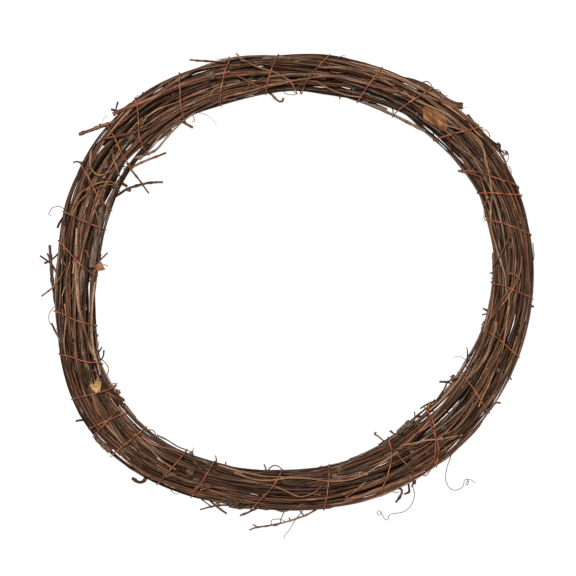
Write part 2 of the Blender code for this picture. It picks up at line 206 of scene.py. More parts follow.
def plainFibreMaterial(name, low, high, size, roughness):
    made, tree, shader = newMaterial(name)
    place = addNode(tree, "ShaderNodeTexCoord")
    grain = addNode(
        tree, "ShaderNodeTexNoise", {"Scale": perMetre(size), "Detail": 2.0}, {"Vector": place.outputs["Object"]},
    )
    ramp = addRamp(tree, [(0.35, low), (0.65, high)], grain.outputs["Fac"])
    tree.links.new(ramp.outputs[0], shader.inputs["Base Color"])
    shader.inputs["Roughness"].default_value = roughness
    return made


cutWood = plainFibreMaterial("cutVineWood", "#6d4d33", "#a98458", 0.6 * mm, 0.8)  # pale wood of a cut end
bast = plainFibreMaterial("frayedBast", "#8a6434", "#c39c66", 1.0 * mm, 0.85)  # straw-pale torn fibre
tendrilSkin = plainFibreMaterial("driedTendril", "#26180f", "#5c4533", 3 * mm, 0.7)  # thin grey-brown dried tendril


def wireMaterial():
    made, tree, shader = newMaterial("rustedBindingWire")  # thin iron wire under a film of rust, satin where rubbed
    place = addNode(tree, "ShaderNodeTexCoord")
    film = addNode(
        tree, "ShaderNodeTexNoise", {"Scale": perMetre(6 * mm), "Detail": 4.0}, {"Vector": place.outputs["Object"]},
    )
    ramp = addRamp(tree, [(0.30, "#35180a"), (0.50, "#68361a"), (0.72, "#93592f")], film.outputs["Fac"])
    tree.links.new(ramp.outputs[0], shader.inputs["Base Color"])
    shader.inputs["Metallic"].default_value = 0.15
    shader.inputs["Roughness"].default_value = 0.5
    shader.inputs["Specular IOR Level"].default_value = 0.3
    return made


def leafMaterial():
    made, tree, shader = newMaterial("dryVineLeaf")  # papery brown blade, paler along its veins
    straight = addNode(tree, "ShaderNodeAttribute", {"attribute_name": "straight"})
    tone = addNode(tree, "ShaderNodeAttribute", {"attribute_name": "tone"})
    mottle = addNode(
        tree, "ShaderNodeTexNoise", {"Scale": perMetre(5 * mm), "Detail": 4.0}, {"Vector": straight.outputs["Vector"]},
    )
    shift = addNode(
        tree, "ShaderNodeMath", {"operation": "ADD"}, {0: mottle.outputs["Fac"], 1: tone.outputs["Fac"]},
    )
    ramp = addRamp(tree, [(0.30, "#3b210b"), (0.52, "#623a15"), (0.80, "#875829")], shift.outputs[0])
    tree.links.new(ramp.outputs[0], shader.inputs["Base Color"])
    bump = addNode(tree, "ShaderNodeBump", {"Distance": 0.2 * mm}, {"Height": mottle.outputs["Fac"]})
    tree.links.new(bump.outputs[0], shader.inputs["Normal"])
    shader.inputs["Roughness"].default_value = 0.75
    return made


rustWire = wireMaterial()
dryLeaf = leafMaterial()
print("materials made")


def curveThrough(points, step):
    # a smooth curve through points, as evenly spaced as the step asks
    points = np.asarray(points, float)
    if len(points) < 3:
        count = max(2, int(np.linalg.norm(points[-1] - points[0]) / step) + 1)
        return np.linspace(points[0], points[-1], count)
    padded = np.vstack([2 * points[0] - points[1], points, 2 * points[-1] - points[-2]])
    out = []
    for a, b, c, d in zip(padded, padded[1:], padded[2:], padded[3:]):
        count = max(2, int(round(np.linalg.norm(c - b) / step)))
        for t in np.arange(count) / count:
            bend, turn = 2 * a - 5 * b + 4 * c - d, 3 * b - a - 3 * c + d
            out.append(0.5 * (2 * b + (c - a) * t + bend * t**2 + turn * t**3))
    out.append(points[-1])
    return np.array(out)


def lengthsAlong(points):
    return np.concatenate([[0], np.cumsum(np.linalg.norm(np.diff(points, axis=0), axis=1))])


def framesAlong(points):
    # two directions across a course at each of its points, without a sudden turn between them
    ahead = np.gradient(points, axis=0)
    ahead /= np.maximum(np.linalg.norm(ahead, axis=1, keepdims=True), 1e-9)
    side = np.cross(ahead[0], (0, 0, 1))
    if np.linalg.norm(side) < 0.1:
        side = np.cross(ahead[0], (1, 0, 0))
    sides = []
    for direction in ahead:
        side = side - side.dot(direction) * direction
        side = side / np.linalg.norm(side)
        sides.append(side)
    sides = np.array(sides)
    return sides, np.cross(ahead, sides)


def tube(points, radii, sides=8, seed=0.0, tone=0.0, ridge=0.0, lump=0.0):
    # a strand's corners, faces, straightened places and tone; its ends are faces of material 1
    points, radii = np.asarray(points, float), np.asarray(radii, float)
    count = len(points)
    across, up = framesAlong(points)
    length = lengthsAlong(points)
    turns = 2 * np.pi * np.arange(sides) / sides
    cosines, sines = np.cos(turns), np.sin(turns)
    ringsOut, straight = [], []
    for i in range(count):
        swell = np.ones(sides)
        if ridge or lump:
            for k, turn in enumerate(turns):
                place = Vector((3 * math.cos(turn), 3 * math.sin(turn), length[i] / (9 * mm) + 31 * seed))
                swell[k] += ridge * noise.noise(place)
                place = Vector((math.cos(turn), math.sin(turn), length[i] / (3.5 * mm) - 17 * seed))
                swell[k] += lump * noise.noise(place)
        r = radii[i] * swell
        ringsOut.append(points[i] + r[:, None] * (cosines[:, None] * across[i] + sines[:, None] * up[i]))
        unrolled = [radii[i] * cosines + seed, radii[i] * sines, np.full(sides, length[i])]
        straight.append(np.stack(unrolled, -1))
    corners = np.concatenate(ringsOut)
    straight = np.concatenate(straight)
    low = np.arange(count - 1)[:, None] * sides + np.arange(sides)
    high = np.arange(count - 1)[:, None] * sides + (np.arange(sides) + 1) % sides
    faces = np.stack([low, high, high + sides, low + sides], -1).reshape(-1, 4).tolist()
    kinds = [0] * len(faces) + [1, 1]
    faces.append(list(range(sides))[::-1])
    faces.append(list(range((count - 1) * sides, count * sides)))
    tones = np.full(len(corners), tone) if np.isscalar(tone) else np.repeat(tone, sides)
    return corners, faces, kinds, straight, tones


def pieceOf(name, strands, materials, nodes=()):
    # one object of several strands, on the body, with its materials and the solids that it stands for
    corners, faces, kinds, straights, tones = [], [], [], [], []
    base = 0
    for c, f, k, s, t in strands:
        corners.append(c)
        faces += [[base + i for i in face] for face in f]
        kinds += k
        straights.append(s)
        tones.append(t)
        base += len(c)
    mesh = bpy.data.meshes.new(name)
    mesh.from_pydata(np.concatenate(corners).tolist(), [], faces)
    for material in materials:
        mesh.materials.append(material)
    mesh.polygons.foreach_set("material_index", np.minimum(kinds, len(materials) - 1))
    where = mesh.attributes.new("straight", "FLOAT_VECTOR", "POINT")
    where.data.foreach_set("vector", np.concatenate(straights).ravel())
    shade = mesh.attributes.new("tone", "FLOAT", "POINT")
    shade.data.foreach_set("value", np.concatenate(tones))
    mesh.validate()
    mesh.shade_smooth()
    mesh.set_sharp_from_angle(angle=math.radians(60))
    made = bpy.data.objects.new(name, mesh)
    bpy.context.scene.collection.objects.link(made)
    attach(made, "root")
    if nodes:
        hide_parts(*nodes)


cane = {
    "sides": 10,
    "step": 3.2 * mm,
    "nodeEvery": (45 * mm, 85 * mm),  # between a cane's joints, where leaves grew
    "nodeSwell": 0.20,
    "nodeLength": 2.6 * mm,
    "zigzag": 0.35 * mm,
    "ridge": 0.18,
    "lump": 0.12,
    "stems": (1, 2, 2, 3, 3, 4, 4),  # how many thin ones a thick one may be
    "stemSize": ((0.96, 0.0), (0.55, 0.48), (0.45, 0.58), (0.38, 0.64)),  # radius and distance from the middle
    "buttReach": 9.3 * mm,  # how far the torn end of the outer butt goes on
    "buttLift": 3.7 * mm,
    "twist": (0.22, 0.6),  # metres in one turn round each other
}
slotBark = {"bark_dark": "agedVineBark", "bark_red": "redVineBark", "bark_tan": "tanVineBark"}
slotOfNode = {entry["node"]: entry["material_slot"] for entry in frame["record"]["subparts"]}


def circleOf(flat):
    system = np.column_stack([2 * flat, np.ones(len(flat))])
    a, b, c = np.linalg.lstsq(system, (flat**2).sum(1), rcond=None)[0]
    return a, b, math.sqrt(max(c + a * a + b * b, 0))


nearPlanes = [step % ring["planes"] for step in range(-5, 6)]


def courseOf(nodes):
    # a cane's way round the ring, read from the corners of its solids: plane number, outward, up, radius
    points = np.array([v.co for node in nodes for v in frame["nodes"][node].data.vertices])
    points = np.unique(np.round(points, 6), axis=0)
    flat = points[:, :2] - ring["centre"]
    turn = np.arctan2(flat[:, 1], flat[:, 0]) / (2 * np.pi) * ring["planes"]
    plane = np.round(turn).astype(int)
    exact = np.abs(turn - plane) < 0.0016
    found = {}
    for number in range(ring["planes"]):
        chosen = exact & (plane % ring["planes"] == number)
        if chosen.sum() >= 4:
            section = np.column_stack([np.linalg.norm(flat[chosen], axis=1), points[chosen, 2]])
            found[number] = circleOf(section)
    for number in list(found):  # a spur or twig on the cane makes its section look thicker
        beside = [found[other][2] for other in found if (other - number) % ring["planes"] in nearPlanes]
        if found[number][2] > 1.12 * np.median(beside):
            del found[number]
    known = sorted(found)
    gaps = [((b - a) % ring["planes"], b) for a, b in zip(known, known[1:] + known[:1])]
    start = max(gaps)[1]
    order = sorted(((number - start) % ring["planes"], number) for number in known)
    steps = np.arange(order[-1][0] + 1)
    values = np.array([found[number] for _, number in order])
    at = [step for step, _ in order]
    columns = [np.interp(steps, at, values[:, k]) for k in range(3)]
    return start + steps, np.column_stack(columns)


def pointAt(angle, outward, up):
    return np.stack([
        ring["centre"][0] + outward * np.cos(angle), ring["centre"][1] + outward * np.sin(angle), up + 0 * angle,
    ], -1)


secondHalf = {"cane_22": "cane_32", "cane_15": "cane_33"}  # canes that are two solids, end to end
caneNodes = {
    name: [name] + [other for first, other in secondHalf.items() if first == name]
    for name in sorted(frame["nodes"]) if name.startswith("cane_") and name not in secondHalf.values()
}
courses = {name: courseOf(nodes) for name, nodes in caneNodes.items()}
print("courses read:", len(courses))


def jointsOf(draw, length, step, first):
    at, found = draw.uniform(*first), []
    while at < length:
        found.append(at)
        at += draw.uniform(*step)
    return found


def stemsOf(name, number):
    # one cane, or the two to four thinner ones that share its course and turn slowly round each other
    planes, values = courses[name]
    draw = random.Random(400 + number)
    rough = pointAt(planes * 2 * np.pi / ring["planes"], values[:, 0], values[:, 1])
    if name == "cane_outer_butt":
        along = (rough[0] - rough[1]) / np.linalg.norm(rough[0] - rough[1])
        out = np.append(rough[0][:2] - ring["centre"], 0) / values[0, 0]
        rough = np.vstack([rough[0] + cane["buttReach"] * along + cane["buttLift"] * out, rough])
        values = np.vstack([values[0], values])
    middle = curveThrough(rough, cane["step"])
    length, roughLength = lengthsAlong(middle), lengthsAlong(rough)
    whole = np.interp(length / length[-1], roughLength / roughLength[-1], values[:, 2])
    count = 1 if name.endswith("butt") else draw.choice(cane["stems"])
    share, offset = cane["stemSize"][count - 1]
    sides, ups = framesAlong(middle)
    turn, rate = draw.uniform(0, 6.28), draw.choice((-1, 1)) * 2 * math.pi / draw.uniform(*cane["twist"])
    stems = []
    for k in range(count):
        spin = turn + 2 * math.pi * k / count + rate * length + 0.5 * np.sin(length / (60 * mm) + k)
        wayOut = np.cos(spin)[:, None] * sides + np.sin(spin)[:, None] * ups
        points = middle + (whole * offset)[:, None] * wayOut
        cutAway = draw.randint(0, 14) if k else 0
        points, radii = points[cutAway:], (whole * share)[cutAway:] * draw.uniform(0.92, 1.04)
        run = lengthsAlong(points)
        joints = jointsOf(draw, run[-1], cane["nodeEvery"], (10 * mm, 40 * mm))
        for at in joints:
            radii = radii * (1 + cane["nodeSwell"] * np.exp(-(((run - at) / cane["nodeLength"]) ** 2)))
        stops = [0.0] + joints + [run[-1]]
        offsets = [0.0] + [(-1) ** i * cane["zigzag"] * draw.uniform(0.5, 1.3) for i in range(len(joints))] + [0.0]
        across, up = framesAlong(points)
        tilt = draw.uniform(0, 2 * math.pi)
        points = points + np.interp(run, stops, offsets)[:, None] * (math.cos(tilt) * across + math.sin(tilt) * up)
        own = draw.uniform(-0.2, 0.2)
        tones = np.array([own + 0.12 * noise.noise(Vector((s / (45 * mm), number * 7.3 + k, 0.0))) for s in run])
        ridge = cane["ridge"] if count == 1 else 0.6 * cane["ridge"]
        strand = tube(points, radii, cane["sides"] if count == 1 else 8, number * 0.37 + k, tones, ridge, cane["lump"])
        if k:
            strand = strand[:2] + ([2 if kind == 0 else kind for kind in strand[2]],) + strand[3:]
        stems.append((points, radii, strand))
    return stems


buttBark = {"cane_inner_butt": "greyTwigBark", "cane_outer_butt": "agedVineBark"}
otherBark = {"bark_dark": "greyTwigBark", "bark_red": "agedVineBark", "bark_tan": "redVineBark"}
stems = []
for number, (name, nodes) in enumerate(caneNodes.items()):
    slotName = slotOfNode[name]
    made = stemsOf(name, number)
    main = buttBark.get(name, slotBark[slotName])
    pieceOf(
        name + "_bark", [stem[2] for stem in made], [barkOf[main], cutWood, barkOf[otherBark[slotName]]],
        nodes,
    )
    stems += made
print("canes made:", len(stems), "stems")


shoot = {
    "count": 230,
    "radius": (0.34 * mm, 0.86 * mm),
    "span": (14, 95),  # fine planes that one passes
    "drift": 3.0,  # radians that the longest may turn round the bundle
    "upward": 1.15,  # spread of the shoots round the side that faces up, radians
    "steps": 90,
    "inward": 0.45 * mm,
    "shortSpan": 45,
    "shortShare": 0.4,  # how many of them are short
    "taper": 0.45,
    "sway": 0.35,  # radians
    "startOff": 2.5 * mm,  # from the canes, before it is drawn in
    "keepTurn": 0.05,  # how strongly it keeps its own side of the bundle, stays straight, and is pushed off others
    "straighten": 0.6,
    "offCanes": 0.8,
    "offShoots": 0.45,
    "looseEnd": 4.5 * mm,
    "sides": 7,
    "step": 3.0 * mm,
}
fine = ring["fine"]
fineStep = 2 * math.pi / fine


def sectionsOf(points, radii):
    # a strand's discs in the fine planes that it crosses: plane, outward, up, radius
    flat = points[:, :2] - ring["centre"]
    angle = np.unwrap(np.arctan2(flat[:, 1], flat[:, 0]))
    outward = np.linalg.norm(flat, axis=1)
    if angle[-1] < angle[0]:
        angle, outward, points, radii = angle[::-1], outward[::-1], points[::-1], radii[::-1]
    planes = np.arange(math.ceil(angle[0] / fineStep), math.floor(angle[-1] / fineStep) + 1)
    at = planes * fineStep
    columns = [np.interp(at, angle, v) for v in (outward, points[:, 2], radii)]
    return planes % fine, np.column_stack(columns)


there = np.zeros((len(stems), fine), bool)
discs = np.zeros((len(stems), fine, 3))
for number, (points, radii, _) in enumerate(stems):
    planes, values = sectionsOf(points, radii)
    there[number, planes] = True
    discs[number, planes] = values


def smoothRound(values, passes):
    for _ in range(passes):
        values = 0.5 * values + 0.25 * (np.roll(values, 1) + np.roll(values, -1))
    return values


far = np.where(there, discs[..., 0] + discs[..., 2], -9).max(0)
near = np.where(there, discs[..., 0] - discs[..., 2], 9).min(0)
middleOut = smoothRound(0.5 * (far + near), 40)
caneFlat = np.stack([discs[..., 0] - middleOut, discs[..., 1] - ring["middle"]], -1)
caneFlat[~there] = 9.0


def hullAt(plane, turn):
    direction = np.array((math.cos(turn), math.sin(turn)))
    reach = caneFlat[:, plane] @ direction + discs[:, plane, 2]
    return reach[there[:, plane]].max()


def planShoots():
    # each shoot's planes, radii and turns round the bundle, and the row of the table that it can share
    draw = np.random.default_rng(7)
    found, taken = [], []
    for j in range(shoot["count"]):
        longest = shoot["span"][1] if draw.random() > shoot["shortShare"] else shoot["shortSpan"]
        span = int(draw.integers(shoot["span"][0], longest))
        start = int(fine * ((j * 0.6180339887 + 0.13) % 1))
        way = 1 if draw.random() < 0.5 else -1
        planes = (start + np.arange(span)) % fine
        share = np.linspace(0, 1, span)[::way]
        turn = math.pi / 2 + draw.normal(0, shoot["upward"])
        drift = draw.uniform(-1, 1) * shoot["drift"] * span / shoot["span"][1]
        phase = draw.uniform(0, 2 * math.pi)
        turns = turn + drift * share + shoot["sway"] * np.sin(share * span * fineStep * 2.2 + phase)
        radii = draw.uniform(*shoot["radius"]) * (1 - shoot["taper"] * share)
        needed = (start - 1 + np.arange(span + 2)) % fine
        row = next((i for i, used in enumerate(taken) if not used[needed].any()), len(taken))
        if row == len(taken):
            taken.append(np.zeros(fine, bool))
        taken[row][planes] = True
        found.append((row, planes, radii, turns))
    return found, len(taken)


def pushedOff(places, radius, others, otherRadius, both=True):
    apart = places[:, None] - others[None]
    gap = np.linalg.norm(apart, axis=-1)
    short = np.clip(radius[:, None] + otherRadius[None] - gap, 0, None) * both
    return (apart * (short / np.maximum(gap, 1e-6))[..., None]).sum(1)


def settleShoots():
    # thin shoots drawn in against the canes until they touch them, each beside the next
    found, rows = planShoots()
    isThere = np.zeros((rows, fine), bool)
    radius = np.zeros((rows, fine))
    heading = np.zeros((rows, fine, 2))
    places = np.full((rows, fine, 2), 20.0)
    for row, planes, radii, turns in found:
        isThere[row, planes] = True
        radius[row, planes] = radii
        heading[row, planes] = np.stack([np.cos(turns), np.sin(turns)], -1)
        reach = np.array([hullAt(plane, turn) for plane, turn in zip(planes, turns)]) + shoot["startOff"]
        places[row, planes] = reach[:, None] * heading[row, planes]
    inner = isThere & np.roll(isThere, 1, 1) & np.roll(isThere, -1, 1)
    both = isThere[:, None] & isThere[None]
    for step in range(shoot["steps"]):
        left = 1 - step / shoot["steps"]
        size = np.linalg.norm(places, axis=-1, keepdims=True)
        places = places - shoot["inward"] * (0.3 + left) * places / size
        places += shoot["keepTurn"] * left * (heading * size - places)
        bend = 0.5 * (np.roll(places, 1, 1) + np.roll(places, -1, 1)) - places
        places += shoot["straighten"] * inner[..., None] * bend
        for _ in range(2):
            places += shoot["offCanes"] * pushedOff(places, radius, caneFlat, discs[..., 2])
            places += shoot["offShoots"] * pushedOff(places, radius, places, radius, both)
    return [(planes, radius[row, planes], places[row, planes]) for row, planes, _, _ in found]


settled = settleShoots()
print("shoots settled")


def strandOf(points, radii, seed, tone, sides, kink=0.0, ridge=0.08, lump=0.14, joints=(30 * mm, 60 * mm), swell=0.35):
    # a shoot or twig with its joints, slight kinks and its own tone
    draw = random.Random(seed)
    points = np.asarray(points, float)
    length = lengthsAlong(points)
    radii = np.asarray(radii, float).copy()
    acrossWay, upWay = framesAlong(points)
    at, way = draw.uniform(4 * mm, 25 * mm), 1
    stops, offsets = [0.0], [0.0]
    while at < length[-1] - 2 * mm:
        radii *= 1 + swell * np.exp(-(((length - at) / (1.6 * mm)) ** 2))
        stops.append(at)
        offsets.append(way * kink * draw.uniform(0.4, 1.4))
        way = -way
        at += draw.uniform(*joints)
    sway = np.interp(length, stops + [length[-1]], offsets + [0.0])
    tilt = draw.uniform(0, 2 * math.pi)
    points = points + sway[:, None] * (math.cos(tilt) * acrossWay + math.sin(tilt) * upWay)
    tones = np.array([tone + 0.08 * noise.noise(Vector((s / (30 * mm), seed * 3.1, 0.0))) for s in length])
    return tube(points, radii, sides, seed * 0.211, tones, ridge, lump)


shootKinds = ("youngShootBark", "tanVineBark", "greyTwigBark", "youngShootBark", "redVineBark", "tanVineBark")
kindSlots = {
    "youngShootBark": "bark_tan", "tanVineBark": "bark_tan", "greyTwigBark": "bark_dark",
    "redVineBark": "bark_red", "agedVineBark": "bark_dark",
}
shootStrands = {kind: [] for kind in kindSlots}
shootCourses = []
for j, (planes, radii, flat) in enumerate(settled):
    draw = random.Random(900 + j)
    size = np.linalg.norm(flat, axis=1, keepdims=True)
    fromEnd = np.arange(len(planes), dtype=float)
    for ends in (fromEnd, fromEnd[::-1]):
        if draw.random() < 0.55:
            rise = np.clip(1 - ends / 5, 0, None) ** 2 * draw.uniform(0.2, 1) * shoot["looseEnd"]
            flat = flat + rise[:, None] * flat / size
    height = np.maximum(flat[:, 1] + ring["middle"], radii + 0.8 * mm)
    rough = pointAt(planes * fineStep, middleOut[planes] + flat[:, 0], height)
    points = curveThrough(rough, shoot["step"])
    radii = np.interp(np.linspace(0, 1, len(points)), np.linspace(0, 1, len(rough)), radii)
    kind = shootKinds[j % len(shootKinds)]
    shootStrands[kind].append(strandOf(points, radii, 900 + j, draw.uniform(-0.15, 0.18), shoot["sides"], 0.3 * mm))
    shootCourses.append((points, radii))


